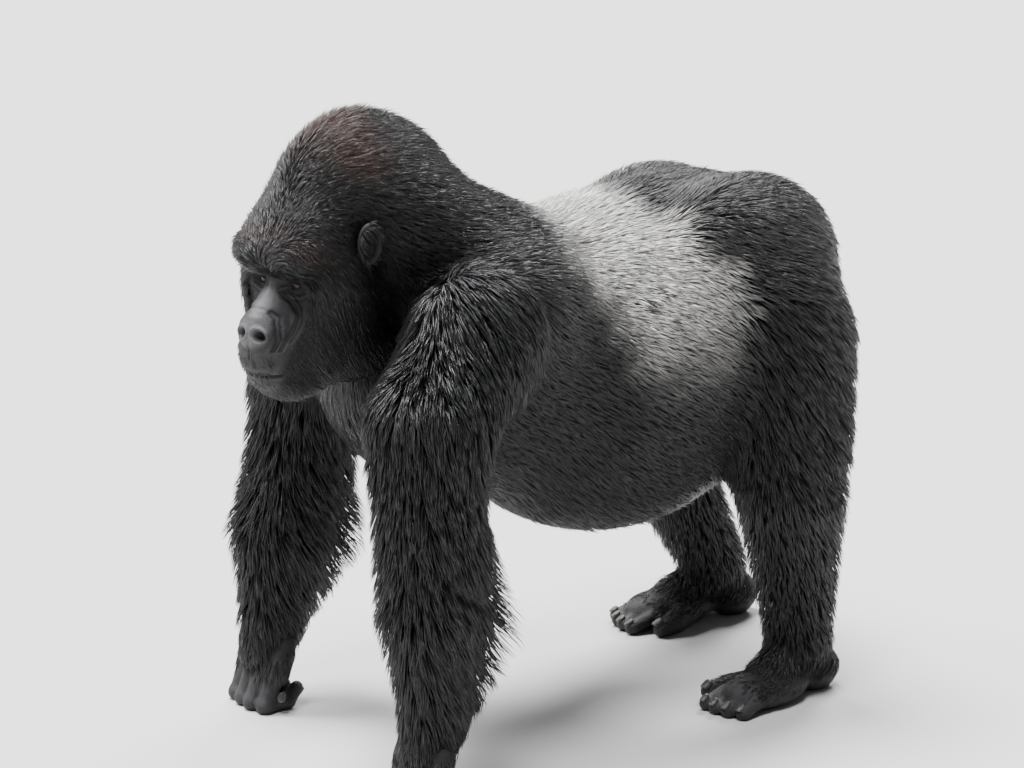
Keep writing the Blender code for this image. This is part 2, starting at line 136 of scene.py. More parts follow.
# Lumps of the head, the same way; those of the second list are on both sides, turned by the last number.
HEAD_MIDDLE = (
    ((0, 0.000, 0.886), (0.095, 0.131, 0.121), 0.014, 0.050),
    ((0, -0.022, 0.950), (0.050, 0.126, 0.094), 0.020, 0.050),
    ((0, -0.110, 0.915), (0.072, 0.090, 0.086), 0.020, 0.050),
    ((0, 0.085, 0.863), (0.091, 0.076, 0.061), 0.010, 0.035),
    ((0, 0.045, 0.755), (0.099, 0.101, 0.121), 0.010, 0.035),
    ((0, 0.128, 0.839), (0.052, 0.047, 0.037), 0.006, 0.022),
    ((0, 0.123, 0.690), (0.064, 0.074, 0.060), 0.001, 0.026),
    ((0, 0.111, 0.645), (0.057, 0.058, 0.042), 0.004, 0.014),
)
HEAD_PAIRS = (
    ((0.045, 0.122, 0.837), (0.047, 0.048, 0.037), 0.006, 0.026, 18),
    ((0.068, 0.080, 0.778), (0.044, 0.054, 0.072), 0.006, 0.028, 0),
    ((0.055, 0.030, 0.695), (0.052, 0.082, 0.067), 0.014, 0.030, 0),
    ((0.042, 0.085, 0.705), (0.044, 0.062, 0.058), 0.005, 0.026, 0),
)
NOSE = ((0, 0.110, 0.800), (0, 0.156, 0.732), 0.020, 0.036, 0.001, 0.020)
NOSE_WING = ((0.023, 0.161, 0.728), (0.019, 0.020, 0.022), 0.010)
LIP = ((0, 0.140, 0.646), (0.040, 0.036, 0.016), 0.012)
EAR_JOIN = 0.008

# Joints of each limb: place, radius out to the coat's tips, depth of coat.
ARMS = {
    "left": (
        ((0.232, -0.315, 0.695), 0.102, 0.022),
        ((0.262, -0.420, 0.590), 0.107, 0.026),
        ((0.285, -0.440, 0.440), 0.090, 0.029),
        ((0.285, -0.430, 0.300), 0.097, 0.039),
        ((0.283, -0.430, 0.140), 0.058, 0.020),
    ),
    "right": (
        ((-0.228, -0.265, 0.695), 0.102, 0.022),
        ((-0.250, -0.310, 0.570), 0.102, 0.026),
        ((-0.264, -0.320, 0.440), 0.089, 0.029),
        ((-0.264, -0.350, 0.280), 0.097, 0.039),
        ((-0.260, -0.375, 0.140), 0.058, 0.020),
    ),
}
FRINGE = {"left": ((0.290, -0.338, 0.262), 0.070), "right": ((-0.272, -0.265, 0.262), 0.074)}
DELTOID_SIZE = (0.102, 0.122, 0.132)
LEGS = {
    "left": (
        ((0.160, 0.300, 0.640), 0.132, 0.022),
        ((0.205, 0.305, 0.360), 0.085, 0.022),
        ((0.200, 0.345, 0.100), 0.058, 0.016),
    ),
    "right": (
        ((-0.160, 0.300, 0.620), 0.132, 0.022),
        ((-0.220, 0.345, 0.350), 0.085, 0.022),
        ((-0.200, 0.480, 0.100), 0.058, 0.016),
    ),
}
TOE_OUT = {"left": math.radians(6), "right": math.radians(10)}
WRIST = {side: np.array(arm[-1][0]) for side, arm in ARMS.items()}
ANKLE = {side: np.array(leg[-1][0]) for side, leg in LEGS.items()}
ACROMION = {"left": (0.165, -0.363, 0.818), "right": (-0.160, -0.300, 0.810)}
FINGERS = range(4)
FINGER_SPACING, FINGER_RADIUS, FINGER_HEIGHT = 0.029, 0.0150, 0.0120
TOE_SPACING, TOE_RADIUS = 0.023, 0.0125

# The plan's box, and the spacing of the grids that fields are kept on.
LOW, HIGH = np.array((-0.39, -0.66, -0.03)), np.array((0.41, 0.62, 1.10))
FIELD_STEP, SKIN_STEP = 0.009, 0.0098
FAR = 9.0  # a distance beyond any on the animal

# ---------------------------------------------------------------- distance fields


def smooth_step(value, low, high):
    """0 below low, 1 above high, and a smooth S between."""
    share = np.clip((value - low) / (high - low), 0, 1)
    return share * share * (3 - 2 * share)


def ball(points, centre, radii, axes=None):
    """About the distance to an ellipsoid: level times (level less one) over the level's slope."""
    away = points - np.asarray(centre, SMALL)
    if axes is not None:
        away = away @ axes.astype(SMALL)
    radii = np.asarray(radii, SMALL)
    level = np.sqrt(((away / radii) ** 2).sum(-1))
    slope = np.sqrt(((away / (radii * radii)) ** 2).sum(-1)) + 1e-9
    return level * (level - 1) / slope


def limb(points, start, end, start_radius, end_radius):
    """Distance to a ball rolled from start to end while its radius changes evenly."""
    start, end = np.asarray(start, SMALL), np.asarray(end, SMALL)
    along = end - start
    square = float(along @ along)
    less = start_radius - end_radius
    narrow = square - less * less
    away = points - start
    reach = away @ along
    past = reach - square
    across = away * SMALL(square) - reach[..., None] * along
    across = (across * across).sum(-1)
    before, after = reach * reach * square, past * past * square
    corner = np.sign(less) * less * less * across
    found = (np.sqrt(across * narrow / square) + reach * less) / square - start_radius
    beyond_end = np.sign(past) * narrow * after > corner
    found = np.where(beyond_end, np.sqrt(across + after) / square - end_radius, found)
    before_start = np.sign(reach) * narrow * before < corner
    return np.where(before_start, np.sqrt(across + before) / square - start_radius, found)


def join(first, second, breadth):
    """The nearer of two distances, with the crease between them filled over that breadth."""
    near = np.maximum(breadth - np.abs(first - second), 0) / breadth
    return np.minimum(first, second) - near * near * breadth / 4


def keep(first, second, breadth):
    """The farther of two distances, with a rounded edge: what is inside both."""
    return -join(-first, -second, breadth)


def close_by(points, middle, reach, shape):
    """shape(points) for points within reach of middle, and a distance to that ball for the rest."""
    away = np.linalg.norm(points - np.asarray(middle, SMALL), axis=-1) - SMALL(reach)
    near = away < 0.05
    found = away + SMALL(0.03)
    if near.any():
        found[near] = shape(points[near])
    return found


def turned(degrees, sign):
    """Axes of a lump on the head that is turned out by that angle about the upright."""
    angle = -sign * math.radians(degrees)
    cosine, sine = math.cos(angle), math.sin(angle)
    return np.array(((cosine, sine, 0), (-sine, cosine, 0), (0, 0, 1))).T


def head_field(points, depth):
    """The head at a share of the coat's depth: 0 at the coat's tips and 1 at the skin."""
    local = to_head(points)
    found = None
    for centre, radii, coat, breadth in HEAD_MIDDLE:
        lump = ball(local, centre, np.array(radii) - coat * depth)
        found = lump if found is None else join(found, lump, breadth)
    for place, radii, coat, breadth, turn in HEAD_PAIRS:
        for _, sign in SIDES:
            lump = ball(local, mirrored(place, sign), np.array(radii) - coat * depth, turned(turn, sign))
            found = join(found, lump, breadth)
    start, end, start_radius, end_radius, coat, breadth = NOSE
    found = join(found, limb(local, start, end, start_radius, end_radius - coat * depth), breadth)
    place, radii, breadth = NOSE_WING
    for _, sign in SIDES:
        found = join(found, ball(local, mirrored(place, sign), radii), breadth)
    place, radii, breadth = LIP
    found = join(found, ball(local, place, radii), breadth)
    for _, sign in SIDES:
        ear = ball(local, mirrored(EAR_PLACE, sign), EAR_SIZE, turned(-EAR_TURN, sign))
        found = join(found, ear, EAR_JOIN)
    return found


def finger_row(sign):
    """For each finger: how far aside of the hand's middle it is, and how much shorter than the longest."""
    return [(sign * (number - 1.5) * FINGER_SPACING, 0.006 * abs(number - 1.3)) for number in FINGERS]


def hand_field(points, side, depth):
    """A hand on the middle joints of four curled fingers, the thumb on its inner side."""
    wrist, sign = WRIST[side], SIGN[side]
    palm_end = wrist + (0, -0.014, -0.048)
    found = limb(points, wrist, palm_end, 0.056 - 0.016 * depth, 0.048 - 0.006 * depth)
    inset = 0.0015 * depth
    for across, shorter in finger_row(sign):
        knuckle = wrist + (across, -0.022 + shorter, -0.052)
        middle = np.array((knuckle[0], knuckle[1] - 0.030, FINGER_HEIGHT))
        end = np.array((knuckle[0], knuckle[1] + 0.012, FINGER_HEIGHT))
        tip = end + (0, 0.018, 0.020)
        finger = limb(points, knuckle, middle, 0.0195 - inset, FINGER_RADIUS - inset)
        finger = join(finger, ball(points, middle, (0.0158, 0.0165, 0.0158)), 0.004)
        finger = join(finger, limb(points, middle, end, FINGER_RADIUS - inset, 0.0148 - inset), 0.003)
        finger = join(finger, limb(points, end, tip, 0.0148 - inset, 0.0125 - inset), 0.003)
        found = join(found, finger, 0.005)
    inner = wrist - (sign * 0.046, 0, 0)
    base, tip = inner + (0, -0.004, -0.030), inner + (-sign * 0.010, -0.022, -0.078)
    return join(found, limb(points, base, tip, 0.018 - inset, 0.0125 - inset), 0.010)


def foot_axes(side):
    """Outward, forward and up at a foot, as rows."""
    sign = SIGN[side]
    angle = sign * TOE_OUT[side]
    outward = (sign * math.cos(angle), sign * math.sin(angle), 0)
    return np.array((outward, (math.sin(angle), -math.cos(angle), 0), (0, 0, 1)))


def toes(depth=0.0):
    """Root, tip and radius of each toe at the foot, the great toe last."""
    found = []
    for number in range(4):
        across = 0.038 - number * TOE_SPACING
        reach = 0.012 * number - 0.003 * number * number
        tip = (across * 1.08, 0.160 + reach, 0.011)
        found.append(((across, 0.110 + reach, 0.026), tip, TOE_RADIUS - 0.001 * depth))
    found.append(((-0.058, 0.100, 0.018), (-0.068, 0.130, 0.014), 0.0160 - 0.001 * depth))
    return found


def foot_field(points, side, depth):
    """A flat foot with its heel down and the great toe set apart on the inner side."""
    below_ankle = np.array((*ANKLE[side][:2], 0), SMALL)
    local = (points - below_ankle) @ foot_axes(side).T.astype(SMALL)
    found = ball(local, (0, -0.040, 0.036), (0.037, 0.046, 0.042))
    thick, thin = 0.050 - 0.012 * depth, 0.040 - 0.006 * depth
    found = join(found, limb(local, (0, -0.010, 0.080), (0.004, 0.070, 0.042), thick, thin), 0.025)
    found = join(found, ball(local, (0.006, 0.075, 0.026), (0.048, 0.085, 0.032)), 0.015)
    *small_toes, (root, tip, radius) = toes(depth)
    for toe_root, toe_tip, toe_radius in small_toes:
        toe = limb(local, toe_root, toe_tip, toe_radius + 0.001, toe_radius)
        toe = join(toe, ball(local, toe_tip, (toe_radius * 1.08,) * 3), 0.003)
        found = join(found, toe, 0.006)
    great = limb(local, (-0.022, 0.045, 0.026), root, 0.022, 0.018)
    great = join(great, limb(local, root, tip, 0.018, radius), 0.003)
    return join(found, great, 0.010)


def arm_field(points, side, depth):
    """Shoulder to wrist, and at the coat's tips the long hair hanging behind the forearm."""
    arm = ARMS[side]
    found = ball(points, arm[0][0], np.array(DELTOID_SIZE) - arm[0][2] * depth)
    for number, (start, end) in enumerate(zip(arm, arm[1:])):
        part = limb(points, start[0], end[0], start[1] - start[2] * depth, end[1] - end[2] * depth)
        found = join(found, part, 0.020 if number == 0 else 0.008)
    elbow, wrist = np.array(arm[2][0]), WRIST[side]
    if depth < 1:
        middle, radius = FRINGE[side]
        share = 1 - depth
        hair = limb(points, elbow + (0, 0.030, -0.020), middle, 0.072 * share, radius * share)
        found = join(found, hair, 0.020)
        hair = limb(points, middle, wrist + (0, 0.025, 0), radius * share, 0.042 * share)
        found = join(found, hair, 0.020)
    else:
        found = join(found, ball(points, elbow + (0, 0.036, 0.010), (0.034, 0.034, 0.044)), 0.020)
    return found


def leg_field(points, side, depth):
    """Hip to ankle, with the back of the thigh and the calf."""
    hip, knee, ankle = (np.array(place) for place, _, _ in LEGS[side])
    hip_radius, knee_radius, ankle_radius = (radius - coat * depth for _, radius, coat in LEGS[side])
    found = limb(points, hip, knee, hip_radius, knee_radius)
    found = join(found, limb(points, knee, ankle, knee_radius, ankle_radius), 0.010)
    behind, less = hip + (SIGN[side] * 0.010, 0.050, -0.050), 0.026 * depth
    back = limb(points, behind, knee + (0, 0.050, 0.050), 0.112 - less, 0.082 - less)
    found = join(found, back, 0.025)
    calf = limb(points, knee + (0, 0.050, -0.030), ankle + (0, 0.010, 0), 0.077 - less, 0.052 - 0.016 * depth)
    return join(found, calf, 0.025)


def animal(points, depth):
    """Distance to the whole animal, out to the coat's tips at depth 0 and to the skin at depth 1."""
    points = points.astype(SMALL)
    found = None
    for centre, radii, coat, breadth in TRUNK:
        lump = ball(points, centre, np.array(radii) - coat * depth)
        found = lump if found is None else join(found, lump, breadth)
    start, end, start_radius, end_radius, coat, breadth = NECK
    neck = limb(points, start, end, start_radius - coat * depth, end_radius - coat * depth)
    found = join(found, neck, breadth)
    head = close_by(points, on_head((0, 0, 0.83)), 0.27, lambda near: head_field(near, depth))
    found = join(found, head, 0.040)
    for side in SIGN:
        parts = (
            (ARMS[side][2][0], 0.42, arm_field, 0.035),
            (WRIST[side] + (0, -0.01, -0.07), 0.13, hand_field, 0.020),
            (LEGS[side][1][0], 0.48, leg_field, 0.035),
            (ANKLE[side] + (0, -0.05, -0.06), 0.18, foot_field, 0.020),
        )
        for middle, reach, field, breadth in parts:
            part = close_by(points, middle, reach, lambda near: field(near, side, depth))
            found = join(found, part, breadth)
    return keep(found, -points[..., 2], 0.004)


def slope(field, points, step=0.0015):
    """The unit vector up which a field climbs fastest, from differences across each point."""
    found = np.empty_like(points, SMALL)
    for axis in range(3):
        shift = np.zeros(3, SMALL)
        shift[axis] = step
        found[:, axis] = field(points + shift) - field(points - shift)
    return found / (np.linalg.norm(found, axis=1, keepdims=True) + 1e-12)


class Grid:
    """A field kept on a grid of even steps and read back between its points along straight lines."""

    def __init__(self, field):
        counts = np.ceil((HIGH - LOW) / FIELD_STEP).astype(int) + 1
        lines = [low + FIELD_STEP * np.arange(count) for low, count in zip(LOW, counts)]
        points = np.stack(np.meshgrid(*lines, indexing="ij"), -1).reshape(-1, 3).astype(SMALL)
        self.values = field(points).reshape(counts).astype(SMALL)

    def __call__(self, points):
        place = (points - LOW) / FIELD_STEP
        place = np.clip(place, 0, np.array(self.values.shape) - 1.001)
        cell = place.astype(int)
        share = (place - cell).astype(SMALL)
        found = np.zeros(len(points), SMALL)
        for corner in np.ndindex(2, 2, 2):
            weight = np.prod(np.where(corner, share, 1 - share), axis=1)
            at = cell + corner
            found += weight * self.values[at[:, 0], at[:, 1], at[:, 2]]
        return found


# ---------------------------------------------------------------- surfaces


def corner_views(grid):
    """Eight views of a grid of values, each with one corner of every cell."""
    x_count, y_count, z_count = np.array(grid.shape) - 1
    for x, y, z in np.ndindex(2, 2, 2):
        yield grid[x : x_count + x, y : y_count + y, z : z_count + z]


def level_surface(field, step):
    """The surface where a field is 0: a point in each grid cell it crosses, at the mean of its crossings.

    The grid is read only near the surface. Each grid edge that crosses it gives two triangles.
    """
    coarse = 4  # steps to a block of the rough grid
    counts = (np.ceil((HIGH - LOW) / (step * coarse)).astype(int)) * coarse + 1
    lines = [low + step * np.arange(count) for low, count in zip(LOW, counts)]
    rough_points = np.stack(np.meshgrid(*[line[::coarse] for line in lines], indexing="ij"), -1)
    rough = field(rough_points.reshape(-1, 3).astype(SMALL)).reshape(rough_points.shape[:3])
    near = np.abs(rough) < step * coarse * 1.3
    blocks = np.zeros(np.array(near.shape) - 1, bool)
    for corner in corner_views(near):
        blocks |= corner
    values = np.full(counts, FAR, SMALL)
    spread = rough[:-1, :-1, :-1]
    for axis in range(3):
        spread = np.repeat(spread, coarse, axis)
    values[:-1, :-1, :-1] = spread
    values[-1], values[:, -1], values[:, :, -1] = FAR, FAR, FAR
    offsets = np.stack(np.meshgrid(*[np.arange(coarse + 1)] * 3, indexing="ij"), -1).reshape(-1, 3)
    cells = (np.argwhere(blocks)[:, None, :] * coarse + offsets[None]).reshape(-1, 3)
    flat = np.unique(np.ravel_multi_index(cells.T, counts))
    places = np.stack(np.unravel_index(flat, counts), -1)
    values.ravel()[flat] = field((LOW + places * step).astype(SMALL))
    inside = values < 0
    total = np.zeros(np.array(values.shape) - 1, np.uint8)
    for corner in corner_views(inside):
        total += corner
    cells = np.argwhere((total > 0) & (total < 8))
    corners = np.array(list(np.ndindex(2, 2, 2)))
    at = [values[tuple((cells + corner).T)] for corner in corners]
    middle, crossings = np.zeros((len(cells), 3)), np.zeros(len(cells))
    for first, one in enumerate(corners):
        for second, other in enumerate(corners):
            if first < second and np.abs(one - other).sum() == 1:
                crosses = (at[first] < 0) != (at[second] < 0)
                share = np.where(crosses, at[first] / np.where(crosses, at[first] - at[second], 1), 0)
                middle += (one + (other - one) * share[:, None]) * crosses[:, None]
                crossings += crosses
    points = LOW + (cells + middle / crossings[:, None]) * step
    index = np.full(total.shape, -1)
    index[tuple(cells.T)] = np.arange(len(cells))
    faces = []
    for axis in range(3):
        start, end = [slice(1, -1)] * 3, [slice(1, -1)] * 3
        start[axis], end[axis] = slice(0, -1), slice(1, None)
        below, above = inside[tuple(start)], inside[tuple(end)]
        edges = np.argwhere(below != above)
        outward = below[tuple(edges.T)]
        base = edges + 1
        base[:, axis] -= 1
        first, second = (axis + 1) % 3, (axis + 2) % 3
        quad = []
        for back, aside in ((1, 1), (0, 1), (0, 0), (1, 0)):
            cell = base.copy()
            cell[:, first] -= back
            cell[:, second] -= aside
            quad.append(index[tuple(cell.T)])
        quad = np.stack(quad, 1)
        quad[~outward] = quad[~outward][:, ::-1]
        faces.append(quad)
    faces = np.concatenate(faces)
    faces = faces[(faces >= 0).all(1)]
    return points, np.concatenate([faces[:, [0, 1, 2]], faces[:, [0, 2, 3]]])


def onto(field, points, rounds=2):
    """Points moved along the field's slope to where it is 0."""
    for _ in range(rounds):
        points = points - field(points)[:, None] * slope(field, points)
    return points


def edges_of(faces):
    """The edges of triangles, each once, and for each triangle the places of its three edges in that list."""
    pairs = np.sort(np.concatenate([faces[:, [0, 1]], faces[:, [1, 2]], faces[:, [2, 0]]]), axis=1)
    edges, where = np.unique(pairs, axis=0, return_inverse=True)
    return edges, where.reshape(3, -1).T


def even_out(points, faces):
    """Each point moved half way to the middle of its neighbours."""
    edges, _ = edges_of(faces)
    one, other = edges.T
    counts = np.bincount(edges.ravel(), minlength=len(points))[:, None]
    total = np.zeros_like(points)
    for axis in range(3):
        line = points[:, axis]
        total[:, axis] = np.bincount(one, line[other], len(points))
        total[:, axis] += np.bincount(other, line[one], len(points))
    return (points + total / np.maximum(counts, 1)) / 2


def divide(points, faces, longest):
    """Every edge longer than longest(middle) is halved, and its triangles become two, three or four."""
    edges, where = edges_of(faces)
    middles = points[edges].mean(1)
    split = np.linalg.norm(points[edges[:, 0]] - points[edges[:, 1]], axis=1) > longest(middles)
    number = np.full(len(edges), -1)
    number[split] = len(points) + np.arange(split.sum())
    points = np.concatenate([points, middles[split]])
    cut = number[where]
    count = (cut >= 0).sum(1)
    found = [faces[count == 0]]
    rows = np.arange(3)

    def rolled(chosen, first):
        """Corners and cuts of the chosen triangles, each from its own first one on."""
        order = (first[:, None] + rows) % 3
        return np.take_along_axis(faces[chosen], order, 1), np.take_along_axis(cut[chosen], order, 1)

    one = count == 1
    corner, half = rolled(one, (cut[one] >= 0).argmax(1))
    found.append(np.stack([corner[:, 0], half[:, 0], corner[:, 2]], 1))
    found.append(np.stack([half[:, 0], corner[:, 1], corner[:, 2]], 1))
    two = count == 2
    corner, half = rolled(two, (cut[two] < 0).argmax(1) + 1)
    found.append(np.stack([half[:, 0], corner[:, 1], half[:, 1]], 1))
    found.append(np.stack([corner[:, 0], half[:, 0], half[:, 1]], 1))
    found.append(np.stack([corner[:, 0], half[:, 1], corner[:, 2]], 1))
    corner, half = faces[count == 3], cut[count == 3]
    found.append(half)
    for place in range(3):
        found.append(np.stack([corner[:, place], half[:, place], half[:, (place + 2) % 3]], 1))
    return points, np.concatenate(found)


def mesh_piece(name, points, faces, uvs=None, colours=None, numbers=None):
    """An object of triangles or quads at the model's place, with UV maps and attributes given per point."""
    mesh = bpy.data.meshes.new(name)
    faces = np.ascontiguousarray(faces, np.int32)
    sides = faces.shape[1]
    mesh.vertices.add(len(points))
    mesh.vertices.foreach_set("co", (points + ORIGIN).astype(SMALL).ravel())
    mesh.loops.add(faces.size)
    mesh.loops.foreach_set("vertex_index", faces.ravel())
    mesh.polygons.add(len(faces))
    mesh.polygons.foreach_set("loop_start", np.arange(0, faces.size, sides, dtype=np.int32))
    mesh.update(calc_edges=True)
    mesh.polygons.foreach_set("use_smooth", np.ones(len(faces), bool))
    for key, values in (uvs or {}).items():
        layer = mesh.uv_layers.new(name=key)
        layer.uv.foreach_set("vector", values[faces.ravel()].astype(SMALL).ravel())
    for key, values in (colours or {}).items():
        layer = mesh.attributes.new(key, "FLOAT_COLOR", "POINT")
        opaque = np.concatenate([values, np.ones((len(values), 1))], 1).astype(SMALL)
        layer.data.foreach_set("color", opaque.ravel())
    for key, values in (numbers or {}).items():
        kind = "FLOAT" if values.ndim == 1 else "FLOAT_VECTOR"
        layer = mesh.attributes.new(key, kind, "POINT")
        layer.data.foreach_set("value" if kind == "FLOAT" else "vector", values.astype(SMALL).ravel())
    mesh.validate()
    thing = bpy.data.objects.new(name, mesh)
    bpy.context.scene.collection.objects.link(thing)
    return thing


# ---------------------------------------------------------------- the face and ears

# Lines on the face: places as side and up, breadth, depth. They are on both sides.
FACE_LINES = (
    (((0.000, 0.6590), (0.020, 0.6577), (0.040, 0.6600), (0.053, 0.6640), (0.060, 0.6685)), 0.0019, 0.0046),
    (((0.022, 0.756), (0.032, 0.749), (0.0390, 0.735), (0.0410, 0.717), (0.0365, 0.700)), 0.0028, 0.0042),
    (((0.018, 0.784), (0.032, 0.769), (0.0450, 0.748), (0.0480, 0.724), (0.0440, 0.700)), 0.0020, 0.0034),
    (((0.034, 0.776), (0.046, 0.760), (0.0530, 0.738), (0.0510, 0.712)), 0.0018, 0.0022),
    (((0.020, 0.7850), (0.028, 0.7795), (0.040, 0.7780), (0.053, 0.7840)), 0.0020, 0.0016),
    (((0.022, 0.7760), (0.032, 0.7710), (0.045, 0.7700), (0.057, 0.7770)), 0.0018, 0.0010),
    (((0.020, 0.7985), (0.028, 0.8030), (0.040, 0.8035), (0.053, 0.7970)), 0.0018, 0.0012),
    (((0.006, 0.7900), (0.008, 0.8000), (0.007, 0.8120)), 0.0022, 0.0012),
    (((0.003, 0.7605), (0.012, 0.7600), (0.022, 0.7560)), 0.0018, 0.0013),
    (((0.000, 0.7110), (0.000, 0.7000), (0.000, 0.6850)), 0.0024, 0.0014),
)
MOUTH, WING_FOLD, CHEEK_FOLD = (line[0] for line in FACE_LINES[:3])
FULL_PAINTED_SHADE_DEPTH = 0.0030  # a line as deep as this, or deeper, gets the darkest painted shade
LID_LENGTH, LID_HEIGHT = 0.0150, 0.0105  # half sizes of the lids over the eye
OPENING_LENGTH, OPENING_HEIGHT = 0.0112, 0.0034
LID_OUT, LID_RIM, OPENING_DEPTH = 0.0019, 0.0010, 0.0075  # from the eye's ball out, and from the lids in
NOSTRIL = ((0.0165, 0.7220), (0.0104, 0.0088), 0.015)  # place, half sizes, depth
NOSE_PAD = (0.7260, 0.037, 0.027, 0.0038)  # height, half sizes, rise
UPPER_LIP, LOWER_LIP, LIP_RISE = (0.6685, 0.005), (0.6480, 0.006), 0.0022  # height and breadth of each
EAR_HOLLOW, EAR_RIDGE = 0.0125, 0.0050  # depth, and rise of the ridge in it
SOCKET = ((0.034, 0.797), (0.038, 0.019))  # place and half sizes of the shade round each eye
# The longest edges of the skin's triangles.
BODY_EDGE, HEAD_EDGE, EAR_EDGE, HAND_EDGE, FOOT_EDGE = 0.0140, 0.0110, 0.0038, 0.0062, 0.0064
FACE_EDGE, FOLD_EDGE, NOSTRIL_EDGE, LID_EDGE = 0.0028, 0.0018, 0.0016, 0.0011
DIVISIONS = 5  # rounds of dividing the edges
# The line of side and up at which the hair of the face starts.
HAIRLINE = (
    (0.000, 0.795), (0.012, 0.797), (0.026, 0.799), (0.052, 0.797), (0.062, 0.789),
    (0.058, 0.775), (0.0545, 0.750), (0.0535, 0.727), (0.051, 0.707), (0.047, 0.688),
    (0.042, 0.672), (0.037, 0.655), (0.028, 0.638), (0.000, 0.626),
)  # fmt: skip


def line_distance(side, up, line):
    """Distance in side and up to a line of straight stretches."""
    found = np.full(side.shape, FAR)
    for (from_side, from_up), (to_side, to_up) in zip(line, line[1:]):
        along = np.array((to_side - from_side, to_up - from_up))
        share = ((side - from_side) * along[0] + (up - from_up) * along[1]) / (along @ along)
        share = np.clip(share, 0, 1)
        near = np.hypot(side - from_side - share * along[0], up - from_up - share * along[1])
        found = np.minimum(found, near)
    return found


def bareness(points):
    """1 on the bare skin of the face, falling to 0 over the first hair, from the distance to the hairline."""
    local = to_head(points)
    side, up = np.abs(local[:, 0]), local[:, 2]
    distance = line_distance(side, up, HAIRLINE)
    angles = np.zeros(len(points))
    outline = np.array(HAIRLINE + tuple((-s, u) for s, u in HAIRLINE[::-1]))
    for start, end in zip(outline, np.roll(outline, -1, 0)):
        first, second = np.arctan2(start[1] - up, start[0] - side), np.arctan2(end[1] - up, end[0] - side)
        angles += (second - first + np.pi) % (2 * np.pi) - np.pi
    inside = np.abs(angles) > np.pi
    signed = np.where(inside, distance, -distance)
    return smooth_step(signed, -0.009, 0.004) * smooth_step(local[:, 1], 0.085, 0.105)


def painted_fold_shade(points):
    """How much painted shade each point gets: 1 in deep lines and nostrils, less by the eyes and in the ears.
    """
    local = to_head(points)
    side, up = np.abs(local[:, 0]), local[:, 2]
    front = smooth_step(local[:, 1], 0.095, 0.115)
    found = np.zeros(len(points))
    for line, breadth, depth in FACE_LINES:
        groove = np.exp(-((line_distance(side, up, line) / (0.8 * breadth)) ** 2))
        found = np.maximum(found, groove * min(1, depth / FULL_PAINTED_SHADE_DEPTH) * front)
    (at_side, at_up), (half_side, half_up), _ = NOSTRIL
    hole = np.hypot((side - at_side) / half_side, (up - at_up) / half_up)
    found = np.maximum(found, (1 - smooth_step(hole, 0.5, 1.0)) * front)
    for _, sign in SIDES:
        ring, outward_by = ear_ring(local, sign)
        hollow = (1 - smooth_step(ring, 0.60, 0.86)) * smooth_step(outward_by, -0.006, -0.002)
        found = np.maximum(found, hollow)
    (at_side, at_up), (half_side, half_up) = SOCKET
    socket = np.hypot((side - at_side) / half_side, (up - at_up) / half_up)
    found = np.maximum(found, 0.75 * (1 - smooth_step(socket, 0.55, 1.25)) * front)
    # The whole ear is made darker as well.
    return np.maximum(found, 0.85 * ear_share(points))


def ear_ring(local, sign):
    """On an ear: 0 at its middle and 1 at its edge, and how far out of its middle plane a point is."""
    away = (local - mirrored(EAR_PLACE, sign)) @ turned(-EAR_TURN, sign)
    above = away[:, 2] / EAR_SIZE[2]
    across = (away[:, 1] - 0.0010) / EAR_SIZE[1] / (1.0 - 0.18 * smooth_step(-above, 0.1, 0.9))
    ring = np.hypot(across, above)
    return np.where(np.linalg.norm(away, axis=1) < 0.045, ring, FAR), away[:, 0] * sign


def nose_and_lips(points):
    """How far each point has the nose's lighter look, a painted highlight, on its bridge and its pad, and how
    far the lips'.
    """
    local = to_head(points)
    side, up = np.abs(local[:, 0]), local[:, 2]
    front = smooth_step(local[:, 1], 0.100, 0.130)
    bridge = np.exp(-((side / 0.015) ** 2)) * smooth_step(up, 0.735, 0.760)
    bridge = bridge * (1 - smooth_step(up, 0.800, 0.825))
    pad = 1 - smooth_step(np.hypot(side / 0.034, (up - 0.726) / 0.027), 0.55, 1.1)
    lips = np.exp(-(((up - 0.660) / 0.016) ** 2)) * (1 - smooth_step(side, 0.035, 0.065))
    return np.maximum(bridge, 0.65 * pad) * front, lips * front


